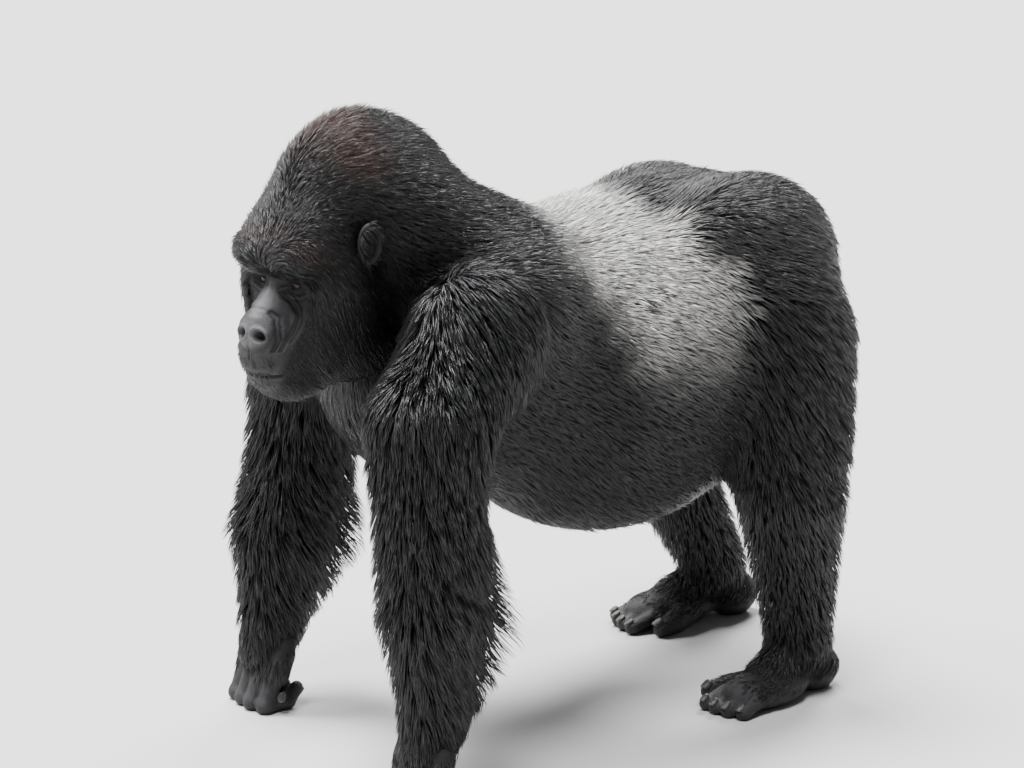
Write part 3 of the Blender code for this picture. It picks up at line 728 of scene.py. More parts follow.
def shape_face(points, normals):
    """Sinks the folds, mouth and nostrils into the face, raises the nose, and lays the lids on the eyes.

    A fold is a bell-shaped groove along its line with a low ridge on each side. A lid is the part of a ball
    just larger than the eye. The opening between the lids goes in past the eye's own surface.
    """
    local = to_head(points)
    side, up = np.abs(local[:, 0]), local[:, 2]
    front = smooth_step(local[:, 1], 0.095, 0.115) * smooth_step(normals @ HEAD_AXES[1], 0.0, 0.3)
    height = np.zeros(len(points))
    for line, breadth, depth in FACE_LINES:
        distance = line_distance(side, up, line)
        height -= depth * np.exp(-((distance / breadth) ** 2))
        height += depth * 0.20 * np.exp(-(((distance - 2.2 * breadth) / (1.3 * breadth)) ** 2))
    at_up, half_side, half_up, rise = NOSE_PAD
    pad = np.hypot(side / half_side, (up - at_up) / half_up)
    height += rise * (1 - smooth_step(pad, 0.75, 1.05))
    upper, lower = (np.exp(-(((up - at_up) / breadth) ** 2)) for at_up, breadth in (UPPER_LIP, LOWER_LIP))
    height += LIP_RISE * (upper + 0.8 * lower) * (1 - smooth_step(side, 0.030, 0.055))
    (at_side, at_up), (half_side, half_up), deep = NOSTRIL
    tilt = (up - at_up) + 0.25 * (side - at_side)
    hole = np.hypot((side - at_side) / half_side, tilt / half_up)
    height += 0.0022 * np.exp(-(((hole - 1.30) / 0.25) ** 2))
    height -= deep * (1 - smooth_step(hole, 0.35, 1.10))
    points = points + normals * (height * front)[:, None]
    for _, sign in SIDES:
        middle = on_head(mirrored(EYE_PLACE, sign))
        across = sign * local[:, 0] - EYE_PLACE[0]
        above = up - EYE_PLACE[2] + 0.0008
        lid = np.hypot((across - 0.001) / LID_LENGTH, above / LID_HEIGHT)
        weight = (1 - smooth_step(lid, 0.85, 1.55)) * front
        level = np.clip(1 - (across / OPENING_LENGTH) ** 2, 0, 1)
        open_by = above + 0.0012 - np.clip(across, -0.01, 0.01) * 0.10
        gap = np.abs(open_by) / (OPENING_HEIGHT * level + 1e-6)
        rim = np.exp(-(((np.abs(open_by) - OPENING_HEIGHT * level) / 0.0016) ** 2))
        rim = rim * (np.abs(across) < OPENING_LENGTH)
        inwards = OPENING_DEPTH * (1 - smooth_step(gap, 0.70, 1.05)) * (level > 0)
        radius = EYE_RADIUS + LID_OUT + LID_RIM * rim - inwards
        away = points - middle
        length = np.linalg.norm(away, axis=1)
        target = middle + away / length[:, None] * radius[:, None]
        near = weight * (length < 0.040)
        points = points + (target - points) * near[:, None]
    return points


def shape_ears(points):
    """Hollows the outer face of each ear inside its rim, and leaves a ridge that runs down the hollow."""
    local = to_head(points)
    for _, sign in SIDES:
        axes = turned(-EAR_TURN, sign)
        away = (local - mirrored(EAR_PLACE, sign)) @ axes
        ring, outward_by = ear_ring(local, sign)
        hollow = (1 - smooth_step(ring, 0.62, 0.88)) * smooth_step(outward_by, -0.002, 0.004)
        curve = away[:, 1] + 0.004 - 0.25 * away[:, 2]
        ridge = np.exp(-((curve / 0.0022) ** 2)) * smooth_step(away[:, 2], -0.020, -0.008)
        depth = EAR_HOLLOW * hollow - EAR_RIDGE * ridge * hollow
        points = points - ((axes[:, 0] * sign) @ HEAD_AXES) * depth[:, None]
    return points


def detail(points):
    """The longest edge the skin's triangles may have at each place, finest on the face."""
    found = np.full(len(points), BODY_EDGE)
    local = to_head(points)
    head = np.linalg.norm((local - (0, 0.0, 0.83)) / (0.14, 0.19, 0.25), axis=1) < 1
    found[head] = HEAD_EDGE
    side, up, forward = np.abs(local[:, 0]), local[:, 2], local[:, 1]
    face = (side < 0.070) & (up > 0.605) & (up < 0.830) & (forward > 0.085)
    found[face] = FACE_EDGE
    eye = np.hypot(side - EYE_PLACE[0], up - EYE_PLACE[2])
    nostril = np.hypot(side - NOSTRIL[0][0], up - NOSTRIL[0][1]) < 0.016
    lines = np.minimum(line_distance(side, up, MOUTH), line_distance(side, up, WING_FOLD)) < 0.006
    lines |= line_distance(side, up, CHEEK_FOLD) < 0.008
    found[face & lines] = FOLD_EDGE
    found[face & (nostril | (eye < 0.022))] = NOSTRIL_EDGE
    found[face & (eye < 0.0155)] = LID_EDGE
    from_ear = (np.stack([side, forward, up], 1) - EAR_PLACE) / (0.022, 0.026, 0.038)
    found[np.linalg.norm(from_ear, axis=1) < 1.1] = EAR_EDGE
    for wrist, ankle in zip(WRIST.values(), ANKLE.values()):
        hand = np.linalg.norm(points - (wrist + (0, -0.015, -0.09)), axis=1) < 0.095
        found[hand] = HAND_EDGE
        foot = np.linalg.norm(points - (ankle + (0, -0.08, -0.08)), axis=1) < 0.155
        found[foot & (points[:, 2] < 0.075)] = FOOT_EDGE
    return found


def skin_surface():
    """The skin's points and triangles: the level surface, divided where it needs detail, then shaped."""

    def field(points):
        """Distance to the skin."""
        return animal(points, 1.0)

    points, faces = level_surface(field, SKIN_STEP)
    points = onto(field, points, 1)
    for _ in range(DIVISIONS):
        points, faces = divide(points, faces, detail)
        points = onto(field, even_out(points, faces), 1)
    points = onto(field, points, 1)
    normals = slope(field, points)
    points = shape_face(points, normals)
    points = shape_ears(points)
    return points, faces


# ---------------------------------------------------------------- the lie and look of the coat

# For each part: length and breadth of a lock, locks for each square metre, how far locks draw together.
LOCKS = {
    "head": (0.026, 0.0016, 195000, 0.25),
    "neck": (0.036, 0.0024, 46000, 0.25),
    "trunk": (0.034, 0.0024, 42500, 0.18),
    "upper_arm": (0.056, 0.0031, 35000, 0.50),
    "forearm": (0.066, 0.0031, 40000, 0.55),
    "hand": (0.018, 0.0020, 50000, 0.30),
    "thigh": (0.050, 0.0031, 34000, 0.45),
    "shank": (0.036, 0.0027, 36000, 0.35),
    "foot": (0.014, 0.0018, 60000, 0.25),
}
LIMB_PARTS = ("upper_arm", "forearm", "hand", "thigh", "shank", "foot")
PARTS = ("head", "neck", "trunk") + tuple(f"{part}_{side}" for side in SIGN for part in LIMB_PARTS)
# The way the hair points on the parts where it is the same all over.
PLAIN_WAYS = {
    "neck": (0, 0.90, -0.42),
    "trunk": (0, 0.84, -0.54),
    "hand": (0, -0.15, -0.98),
    "shank": (0, 0.22, -0.97),
    "foot": (0, -0.92, -0.40),
}
REAR_LENGTH = (("forearm_", 0.55), ("thigh_", 0.25), ("upper_arm_", 0.15))  # how much longer locks are behind
# The saddle's rear edge: heights, and how far back it goes at each.
SADDLE_REAR = ((0.50, 0.62, 0.70, 0.76, 0.83), (0.16, 0.185, 0.200, 0.170, 0.105))
# Small dark marks on the saddle's left side: places and radii.
SCARS = (((0.207, 0.018, 0.707), 0.0100), ((0.202, 0.046, 0.726), 0.0085), ((0.229, 0.054, 0.678), 0.0070))
PART_BLEND = 0.018  # distance over which one part's lie of hair gives way to the next
# For long and short hair: where along a lock its rings and its tip are, the rings' breadths, how high
# the lock's ridge is against its breadth, and how light it is at each ring and the tip, a painted shade
# darkest at the root.
LONG_LOCK = ((0.0, 0.34, 0.70, 1.0), (0.80, 1.0, 0.66), 0.36, (0.50, 0.85, 1.08, 1.20))
SHORT_LOCK = ((0.0, 0.50, 1.0), (0.85, 1.0), 0.20, (0.82, 1.00, 1.14))
LONG_PIECES = ("upper_arm", "forearm", "thigh")
SILVER_PIECES = ("back", "flank_left", "flank_right")
CROWN_FROM = 0.895  # height above which the head's locks are the crown's
BACK_FROM, BELLY_TO = 0.45, -0.40  # how far up the trunk's skin faces on the back, and on the belly
MOST_TRIANGLES = 200000  # in one piece
ROOT_DEPTH, LEAST_RISE = 0.0015, 0.0024  # how far under the skin a lock starts, how far out it comes at least
STRAY_FROM, STRAY_HEIGHT = 0.94, 0.004  # locks whose draw is above the first number stand out by the second
LOWEST = 0.004  # the coat's least height above the floor
BAKE_PATCH = 0.003  # breadth of a lock's patch on its piece's map
SWAY, ROLL = 0.15, 0.35  # spreads of how far locks swing aside, and of their turn about their own length
DEEPEST_TIP = 0.28  # how deep in the coat a lock may end, as a share of the coat's depth
STEP_SHARE = 0.93  # of each step, the part that goes along the skin
LEADERS = 9  # one lock in so many leads the others
MOST_LEAN, APART = 0.02, 0.30  # how far a tip leans at most, and how far tips stay apart against their roots
STRAIGHT = 0.85  # the least that a lock's reach may be, as a share of its length
LENGTH_SPREAD = 0.17  # of the logarithm of the locks' length
ROOT_CELL = 0.02  # the skin's triangles are taken cell by cell, so that roots near each other are spaced
ROOT_SEED, COAT_SEED = 3, 11


def part_distances(points):
    """Distance from each point to a plain shape for each part, in the order of PARTS."""
    head = ball(to_head(points), (0, 0.01, 0.825), (0.110, 0.165, 0.215))
    found = [head + 0.15 * (1 - smooth_step(points[:, 2], 0.585, 0.625))]  # the throat isn't the head's
    found.append(limb(points, *NECK[:4]))
    found.append(limb(points, (0, -0.150, 0.620), (0, 0.240, 0.610), 0.225, 0.250))
    for side in SIGN:
        arm, leg, wrist, ankle = ARMS[side], LEGS[side], WRIST[side], ANKLE[side]
        upper = np.minimum(
            limb(points, arm[0][0], arm[1][0], arm[0][1], arm[1][1]),
            limb(points, arm[1][0], arm[2][0], arm[1][1], arm[2][1]),
        )
        lower = np.minimum(
            limb(points, arm[2][0], arm[3][0], arm[2][1], arm[3][1]),
            limb(points, arm[3][0], wrist, arm[3][1], arm[4][1]),
        )
        found += [upper, lower]
        found.append(limb(points, wrist + (0, -0.01, -0.05), wrist + (0, -0.02, -0.10), 0.05, 0.05))
        found.append(limb(points, leg[0][0], leg[1][0], leg[0][1] - 0.010, leg[1][1]))
        found.append(limb(points, leg[1][0], ankle, leg[1][1], leg[2][1]))
        found.append(limb(points, ankle + (0, 0.02, -0.06), ankle + (0, -0.12, -0.07), 0.045, 0.035))
    return np.stack(found, 1)


def shares(distances):
    """How much each part counts at each point, falling off with distance and adding up to 1."""
    weight = np.exp(-(distances - distances.min(1, keepdims=True)) / PART_BLEND)
    return weight / weight.sum(1, keepdims=True)


def unit(vectors):
    """The same vectors with a length of 1."""
    return vectors / (np.linalg.norm(vectors, axis=1, keepdims=True) + 1e-9)


def head_lie(points):
    """Over the crown the hair runs in circles from the brow back to the nape. Lower, it runs down and back.

    On the brow's own front it runs up at the middle, and out and down at the sides.
    """
    local = to_head(points)
    forward, up = local[:, 1] - 0.060, local[:, 2] - 0.790
    zero, outwards = np.zeros(len(points)), np.tanh(local[:, 0] / 0.020)
    ahead = smooth_step(local[:, 1], 0.060, 0.120)
    over = unit(np.stack([0.05 * outwards * ahead, -up, forward], 1))
    temple = unit(np.stack([(0.10 + 0.80 * ahead) * outwards, zero - 0.72, zero - 0.68], 1))
    cheek = unit(np.stack([0.15 * outwards, zero - 0.30, zero - 0.94], 1))
    jaw = unit(np.stack([0.10 * outwards, zero - 0.66, zero - 0.74], 1))
    aside = np.abs(local[:, 0])
    middle = 1 - smooth_step(aside, 0.0, 0.085)
    crown = smooth_step(local[:, 2] + 0.130 * middle, 0.865, 0.945)[:, None]
    low = (1 - smooth_step(local[:, 2], 0.780, 0.850))[:, None]
    lowest = (1 - smooth_step(local[:, 2], 0.665, 0.730))[:, None]
    side = temple * (1 - low) + (cheek * (1 - lowest) + jaw * lowest) * low
    found = over * crown + side * (1 - crown)
    brow = unit(np.stack([0.85 * outwards, zero, 0.60 - 1.05 * smooth_step(aside, 0.015, 0.065)], 1))
    front = (smooth_step(local[:, 1], 0.125, 0.145) * (1 - smooth_step(local[:, 2], 0.845, 0.872)))[:, None]
    front = front * smooth_step(local[:, 2], 0.780, 0.800)[:, None]
    return unit(found * (1 - front) + brow * front) @ HEAD_AXES


def lie_of(points, weights):
    """The way the hair points at each place, before it is laid along the surface."""
    found = np.zeros((len(points), 3))
    for number, name in enumerate(PARTS):
        weight = weights[:, number]
        near = weight > 0.02
        if not near.any():
            continue
        here = points[near]
        part, _, side = name.rpartition("_")
        plain = PLAIN_WAYS.get(part or name)
        if plain:
            way = np.array(plain)
        elif name == "head":
            way = head_lie(here)
        elif part == "upper_arm":
            way = unit(unit(here - ACROMION[side]) * 0.9 + (0, 0.12, -0.62))
        elif part == "forearm":
            arm = ARMS[side]
            share = np.clip((arm[2][0][2] - here[:, 2:]) / 0.3, 0, 1)
            axis = np.array(arm[2][0]) + (WRIST[side] - arm[2][0]) * share
            away = unit((here - axis) * (1, 1, 0))
            way = unit(away * 0.35 + (0, 0.32, -0.90))
        else:
            zero = 0 * here[:, 0]
            way = unit(np.stack([zero, 0.55 + zero, -0.35 - smooth_step(-here[:, 2], -0.75, -0.5)], 1))
        found[near] += way * weight[near, None]
    return unit(found)


def silver(points):
    """1 on the saddle of a grown male, from behind the shoulder blades over the loin and down the flanks."""
    side, along, up = np.abs(points[:, 0]), points[:, 1], points[:, 2]
    ragged = 0.010 * np.sin(side * 61 + along * 23) + 0.008 * np.sin(up * 83 - along * 37)
    ragged = ragged + 0.006 * np.sin(up * 190 + side * 150) * np.sin(along * 170)
    front = smooth_step(along + ragged - 0.55 * np.clip(0.76 - up, 0, 1), -0.150, -0.020)
    rear = np.interp(up, SADDLE_REAR[0], SADDLE_REAR[1])
    behind = 1 - smooth_step(along + ragged, rear - 0.055, rear + 0.030)
    return front * behind * smooth_step(up + ragged, 0.500, 0.780) ** 1.3


def markings(points, colours):
    """The hair's colour: black, with a silver saddle, brown scars, a rusty crown, and brown on the rump and
    shoulders that is worn hair and a painted highlight.
    """
    black, grey, brown, rust = (np.array(colour) for colour in colours)
    local = to_head(points)
    side, along, up = np.abs(points[:, 0]), points[:, 1], points[:, 2]
    found = np.tile(black, (len(points), 1))
    # Worn brown hair on the rump's top and the shoulders' edge; its lighter colour there is also a painted
    # highlight of sheen.
    worn = smooth_step(along, 0.100, 0.200) * smooth_step(up, 0.680, 0.790) * 0.55
    shoulder = np.exp(-(((along + 0.155) / 0.055) ** 2))
    shoulder = shoulder * smooth_step(up, 0.62, 0.74) * smooth_step(side, 0.12, 0.22)
    found += (brown - black) * np.maximum(worn, 0.55 * shoulder)[:, None]
    crown = np.exp(-(((local[:, 1] - 0.035) / 0.050) ** 2)) * smooth_step(local[:, 2], 0.915, 0.985)
    brow = np.exp(-(((local[:, 2] - 0.855) / 0.018) ** 2)) * smooth_step(local[:, 1], 0.10, 0.13) * 0.25
    on_top = np.maximum(crown, brow) * (np.abs(local[:, 0]) < 0.12) * (local[:, 1] > -0.2)
    found += (rust - black) * on_top[:, None]
    found += (grey - found) * silver(points)[:, None]
    for place, radius in SCARS:
        found[np.linalg.norm((points - place) / (2.0, 1.0, 1.4), axis=1) < radius] = brown
    return found


def ear_share(points):
    """1 on the ears and 0 off them."""
    local = to_head(points)
    found = np.zeros(len(points))
    for _, sign in SIDES:
        size = np.add(EAR_SIZE, (0.0035, 0.002, 0.002))
        on_ear = ball(local, mirrored(EAR_PLACE, sign), size, turned(-EAR_TURN, sign)) < 0
        found = np.maximum(found, on_ear * (1 - 0.6 * smooth_step(ear_ring(local, sign)[0], 0.80, 0.95)))
    return found


def stubbly(points):
    """1 on the lips and the chin, where short hairs stand apart on bare skin, and 0 above them."""
    local = to_head(points)
    below_nose = 1 - smooth_step(local[:, 2], 0.685, 0.705)
    return below_nose * smooth_step(local[:, 2], 0.60, 0.62) * (local[:, 1] > 0.09)


def naked(points):
    """1 where no hair grows: the face, the ears, the palms and soles, and the fingers and toes."""
    found = np.maximum(bareness(points) * (1 - 0.30 * stubbly(points)), ear_share(points))
    for wrist, ankle in zip(WRIST.values(), ANKLE.values()):
        from_hand = np.linalg.norm((points - wrist)[:, :2], axis=1) < 0.12
        found = np.maximum(found, from_hand * (1 - smooth_step(points[:, 2], 0.052, 0.085)))
        from_foot = np.linalg.norm((points - ankle - (0, -0.06, 0))[:, :2], axis=1) < 0.17
        toe = smooth_step(ankle[1] - points[:, 1], 0.110, 0.140)
        sole = 1 - smooth_step(points[:, 2], 0.022, 0.040)
        found = np.maximum(found, from_foot * (points[:, 2] < 0.09) * np.maximum(toe, sole))
    return found


def lock_sizes(points, weights, normals):
    """Length, breadth, number for each square metre, and drawing together, of the locks at each point.

    They come from LOCKS, mixed by each part's share. Locks are shorter and finer by the hairline and on the
    face, longer on the crest, cheeks and throat and behind the limbs, and fewer on the throat and the belly.
    """
    table = np.array([LOCKS[name if name in LOCKS else name.rpartition("_")[0]] for name in PARTS])
    length, breadth, number, drawn = (weights @ table[:, column] for column in range(4))
    local = to_head(points)
    head = weights[:, 0]
    hairline = line_distance(np.abs(local[:, 0]), local[:, 2], HAIRLINE)
    front = smooth_step(local[:, 1], 0.06, 0.11)
    young = head * front * (1 - smooth_step(hairline, 0.001, 0.024))
    chin = 1 - smooth_step(local[:, 2], 0.630, 0.660)
    length = length * (1 - 0.70 * young * (1 - 0.5 * chin))
    breadth = breadth * (1 - 0.35 * young)
    number = number * (1 + 0.25 * young)
    bare = bareness(points)
    length, breadth = length * (1 - 0.62 * bare), breadth * (1 - 0.40 * bare)
    crest = head * smooth_step(local[:, 2], 0.91, 0.99)
    cheek = head * (1 - smooth_step(local[:, 2], 0.80, 0.86)) * (1 - young)
    length = length * (1 + 0.45 * crest + 1.00 * cheek)
    breadth = breadth * (1 + 0.20 * cheek)
    throat = smooth_step(-normals[:, 1], 0.30, 0.80) * (weights[:, 1] + weights[:, 2])
    length, breadth = length * (1 + 0.90 * throat), breadth * (1 + 0.25 * throat)
    number, drawn = number * (1 - 0.35 * throat), drawn + 0.40 * throat
    rear = smooth_step(normals[:, 1], 0.1, 0.8)
    for side in SIGN:
        for part, more in REAR_LENGTH:
            length = length * (1 + more * weights[:, PARTS.index(part + side)] * rear)
    under = smooth_step(-normals[:, 2], 0.4, 0.9) * weights[:, 2]
    number = number * (1 - 0.45 * under)
    return length, breadth, number, drawn


def piece_of(points, normals, weights):
    """The name of the coat's piece that each root is in."""
    local = to_head(points)
    names = np.array(PARTS, object)[weights.argmax(1)]
    found = np.array([name.replace("hand", "forearm").replace("foot", "shank") for name in names], object)
    cheek = np.where(local[:, 0] > 0, "cheek_left", "cheek_right")
    found = np.where(names == "head", np.where(local[:, 2] > CROWN_FROM, "crown", cheek), found)
    flank = np.where(points[:, 0] > 0, "flank_left", "flank_right")
    trunk = np.where(normals[:, 2] > BACK_FROM, "back", np.where(normals[:, 2] < BELLY_TO, "belly", flank))
    return np.where(names == "trunk", trunk, found)


def unwrap(name, points):
    """Two numbers from 0 to 1 for each root: the angle round its part's own axis, and the way along it."""
    if name == "crown":
        local = to_head(points)
        round_it, along = np.arctan2(local[:, 1], local[:, 2] - 0.85), local[:, 0]
    elif name.startswith("cheek"):
        local = to_head(points)
        round_it, along = np.arctan2(np.abs(local[:, 0]), local[:, 1] + 0.02), local[:, 2]
    elif name in ("neck", "back") or name.startswith("flank"):
        round_it, along = np.arctan2(points[:, 0], points[:, 2] - 0.55), points[:, 1]
    elif name == "belly":
        round_it, along = np.arctan2(points[:, 0], 0.60 - points[:, 2]), points[:, 1]
    else:
        part, _, side = name.rpartition("_")
        joints = ARMS[side] if "arm" in part else LEGS[side]
        heights = np.array([joint[0][2] for joint in joints])[::-1]
        axis_x = np.interp(points[:, 2], heights, [joint[0][0] for joint in joints][::-1])
        axis_y = np.interp(points[:, 2], heights, [joint[0][1] for joint in joints][::-1])
        round_it, along = np.arctan2(points[:, 0] - axis_x, points[:, 1] - axis_y), points[:, 2]
    found = np.stack([round_it, along], 1)
    low, high = found.min(0), found.max(0)
    return 0.01 + 0.98 * (found - low) / (high - low)


def roots_on(points, faces, amount, seed):
    """Roots spread evenly over the skin: equal steps along the running total of area times density."""
    corners = points[faces]
    middle = corners.mean(1)
    cross = np.cross(corners[:, 1] - corners[:, 0], corners[:, 2] - corners[:, 0])
    area = np.linalg.norm(cross, axis=1) / 2
    normals = unit(cross)
    weights = shares(part_distances(middle.astype(SMALL)))
    density = lock_sizes(middle, weights, normals)[2] * amount * (1 - naked(middle))
    cell = ((middle - LOW) / ROOT_CELL).astype(int)
    order = np.lexsort((cell[:, 0], cell[:, 1], cell[:, 2]))
    total = np.cumsum((area * density)[order])
    random = np.random.default_rng(seed)
    steps = np.arange(int(total[-1])) + random.random(int(total[-1]))
    chosen = order[np.searchsorted(total, steps).clip(0, len(order) - 1)]
    share = random.random((len(chosen), 2))
    beyond = share.sum(1) > 1
    share[beyond] = 1 - share[beyond]
    first, second, third = corners[chosen].transpose(1, 0, 2)
    return first + share[:, :1] * (second - first) + share[:, 1:] * (third - first), normals[chosen]


def comb(roots, normals, weights, length, tips, shape, random):
    """The places of each lock's rings and tip.

    Each step goes along the lie of the hair, laid flat on the level surface of the field of the coat's tips,
    and then towards the depth that the lock should have by then: its root's at first, near 0 at the tip.
    """
    count = len(roots)
    start = tips(roots)
    stray = random.random(count)
    end = -0.0005 - DEEPEST_TIP * random.random(count) ** 1.5 * np.abs(start)
    end = np.maximum(start + LEAST_RISE, end)
    end = np.where(stray > STRAY_FROM, STRAY_HEIGHT, end)
    sway = random.normal(0, SWAY, (count, 1))
    place = roots - normals * ROOT_DEPTH
    rings = [place]
    for before, after in zip(shape, shape[1:]):
        up = slope(tips, place, FIELD_STEP * 0.6)
        way = lie_of(place, weights)
        way = unit(way - up * (way * up).sum(1, keepdims=True))
        way = unit(way + np.cross(up, way) * sway)
        step = (length * (after - before))[:, None]
        place = place + way * step * STEP_SHARE
        wanted = start + (end - start) * after**0.75
        rise = np.clip(wanted - tips(place), -0.5 * step[:, 0], 0.75 * step[:, 0])
        place = place + slope(tips, place, FIELD_STEP * 0.6) * rise[:, None]
        place[:, 2] = np.maximum(place[:, 2], LOWEST)
        rings.append(place)
    return np.stack(rings, 1)


def draw_together(rings, drawn, shape, random):
    """Locks lean towards the nearest of a few leading locks, more so nearer the tip, as in a shaggy coat."""
    leaders = random.choice(len(rings), max(1, len(rings) // LEADERS), replace=False)
    tree = KDTree(len(leaders))
    for place, leader in enumerate(leaders):
        tree.insert(rings[leader, 1], place)
    tree.balance()
    nearest = leaders[[tree.find(place)[1] for place in rings[:, 1]]]
    wanted = rings[nearest, -1] + (rings[:, 0] - rings[nearest, 0]) * APART
    lean = np.clip(wanted - rings[:, -1], -MOST_LEAN, MOST_LEAN) * drawn[:, None]
    share = np.array(shape)[None, :, None] ** 1.6
    return rings + lean[:, None, :] * share


def lock_mesh(rings, breadth, normals, tints, roots_map, look, random):
    """Points, triangles, maps and colours of the locks: three-sided, tapered, closed at root and tip."""
    shape, breadths, ridge, painted_shade_along_lock = look
    count, ring_count = len(rings), len(breadths)
    along = np.concatenate([rings[:, 1:2] - rings[:, 0:1], rings[:, 2:] - rings[:, :-2]], 1)
    along = along / (np.linalg.norm(along, axis=2, keepdims=True) + 1e-9)
    up = np.repeat(normals[:, None], ring_count, 1)
    across = np.cross(along, up)
    across = across / (np.linalg.norm(across, axis=2, keepdims=True) + 1e-9)
    up = np.cross(across, along)
    roll = random.normal(0, ROLL, count)[:, None, None]
    across, up = across * np.cos(roll) + up * np.sin(roll), up * np.cos(roll) - across * np.sin(roll)
    half = (breadth[:, None] * np.array(breadths)[None])[..., None] / 2
    ring = rings[:, :-1]
    points = np.stack([ring - across * half, ring + across * half, ring + up * half * ridge * 2], 2)
    points = np.concatenate([points.reshape(count, 3 * ring_count, 3), rings[:, -1:]], 1)
    corners = 3 * ring_count + 1
    pattern = [(0, 1, 2)]
    for low in range(0, 3 * ring_count - 3, 3):
        for side in range(3):
            first, second = low + side, low + (side + 1) % 3
            pattern += [(second, first, first + 3), (second, first + 3, second + 3)]
    low, tip = 3 * ring_count - 3, 3 * ring_count
    pattern += [(low + 1, low, tip), (low + 2, low + 1, tip), (low, low + 2, tip)]
    faces = (np.arange(count)[:, None, None] * corners + np.array(pattern)[None]).reshape(-1, 3)
    place = np.array([-0.5, 0.5, 0.0] * ring_count + [0.0])
    reach = np.repeat(shape, [3] * ring_count + [1])
    bake = roots_map[:, None, :] + np.stack([place, reach - 0.5], 1)[None] * BAKE_PATCH
    across_strand = place[None] + random.integers(0, 400, (count, 1))
    along_strand = reach[None] + random.random((count, 1)) * 9
    strand = np.stack([across_strand, along_strand], 2)
    # Each lock darkens towards its root: painted shade of the coat's depth.
    colours = tints[:, None, :] * np.interp(reach, shape, painted_shade_along_lock)[None, :, None]
    return points.reshape(-1, 3), faces, bake.reshape(-1, 2), strand.reshape(-1, 2), colours.reshape(-1, 3)


def coat_pieces(points, faces, amount, scale, colours):
    """Every lock of the coat, by the name of its piece: what lock_mesh gives."""
    tips = Grid(lambda places: animal(places, 0.0))
    random = np.random.default_rng(COAT_SEED)
    roots, normals = roots_on(points, faces, amount, ROOT_SEED)
    weights = shares(part_distances(roots.astype(SMALL)))
    length, breadth, _, drawn = lock_sizes(roots, weights, normals)
    length = length * scale * np.exp(random.normal(0, LENGTH_SPREAD, len(roots)).clip(-0.4, 0.3))
    breadth = breadth * scale * random.uniform(0.75, 1.25, len(roots))
    tints = markings(roots, colours) * random.uniform(0.60, 1.42, len(roots))[:, None]
    names = piece_of(roots, normals, weights)
    found = {}
    for name in sorted(set(names)):
        here = names == name
        look = LONG_LOCK if name.startswith(LONG_PIECES) else SHORT_LOCK
        rings = comb(roots[here], normals[here], weights[here], length[here], tips, look[0], random)
        walked = np.linalg.norm(np.diff(rings, axis=1), axis=2).sum(1)
        flowing = np.linalg.norm(rings[:, -1] - rings[:, 0], axis=1) > STRAIGHT * walked
        here = np.flatnonzero(here)[flowing]  # a lock that doubles back is left out
        rings = draw_together(rings[flowing], drawn[here], look[0], random)
        where = unwrap(name, roots[here])
        made = lock_mesh(rings, breadth[here], normals[here], tints[here], where, look, random)
        if len(made[1]) >= MOST_TRIANGLES:
            raise RuntimeError(f"coat_{name} has {len(made[1])} triangles, over {MOST_TRIANGLES}")
        found[name] = made
    return found


# ---------------------------------------------------------------- eyes and nails

EYE_DOWN, EYE_OUT = math.radians(8), math.radians(6)  # the gaze
CORNEA_RISE, CORNEA_ANGLE = 0.045, 0.42  # against the ball's radius, and half the angle that it takes up
EYE_RINGS, EYE_SIDES = 40, 48
NAIL_RINGS, NAIL_SIDES = 12, 20
NAIL_BEND = 0.55  # how far the sides of a nail bend down, against half its breadth


def ball_faces(rings, sides):
    """Triangles of a ball whose points are its rings in turn, then its two poles."""
    index = np.arange((rings - 1) * sides).reshape(rings - 1, sides)
    following = np.roll(index, -1, 1)
    quads = np.stack([index[:-1], index[1:], following[1:], following[:-1]], -1).reshape(-1, 4)
    top, bottom = (rings - 1) * sides, (rings - 1) * sides + 1
    first = np.stack([np.full(sides, top), index[0], following[0]], 1)
    last = np.stack([np.full(sides, bottom), following[-1], index[-1]], 1)
    return np.concatenate([quads[:, [0, 1, 2]], quads[:, [0, 2, 3]], first, last])


def eye_surface(sign):
    """A ball turned about the gaze, its cornea a bell-shaped rise in front: points, triangles, directions."""
    angle = np.linspace(0, math.pi, EYE_RINGS + 1)[1:-1]
    round_it = np.arange(EYE_SIDES) * 2 * math.pi / EYE_SIDES
    radius = EYE_RADIUS * (1 + CORNEA_RISE * np.exp(-((angle / CORNEA_ANGLE) ** 4)))
    local = np.stack(
        [
            np.sin(angle)[:, None] * np.cos(round_it),
            np.sin(angle)[:, None] * np.sin(round_it),
            np.repeat(np.cos(angle)[:, None], EYE_SIDES, 1),
        ],
        -1,
    )
    directions = np.concatenate([local.reshape(-1, 3), [(0, 0, 1), (0, 0, -1)]])
    reach = np.concatenate([np.repeat(radius, EYE_SIDES), [EYE_RADIUS * (1 + CORNEA_RISE), EYE_RADIUS]])
    down, out = EYE_DOWN, EYE_OUT * sign
    gaze = (math.sin(out) * math.cos(down), math.cos(out) * math.cos(down), -math.sin(down))
    gaze = np.array(gaze) @ HEAD_AXES
    across = unit(np.cross(gaze, (0, 0, 1))[None])[0]
    axes = np.array((across, np.cross(across, gaze), gaze))
    points = on_head(mirrored(EYE_PLACE, sign)) + (directions * reach[:, None]) @ axes
    return points, outward(points, ball_faces(EYE_RINGS, EYE_SIDES)), directions


def outward(points, faces):
    """The same closed surface with its faces turned so that its volume is positive."""
    corners = points[faces]
    return faces if np.linalg.det(corners - corners.mean((0, 1))).sum() > 0 else faces[:, ::-1]


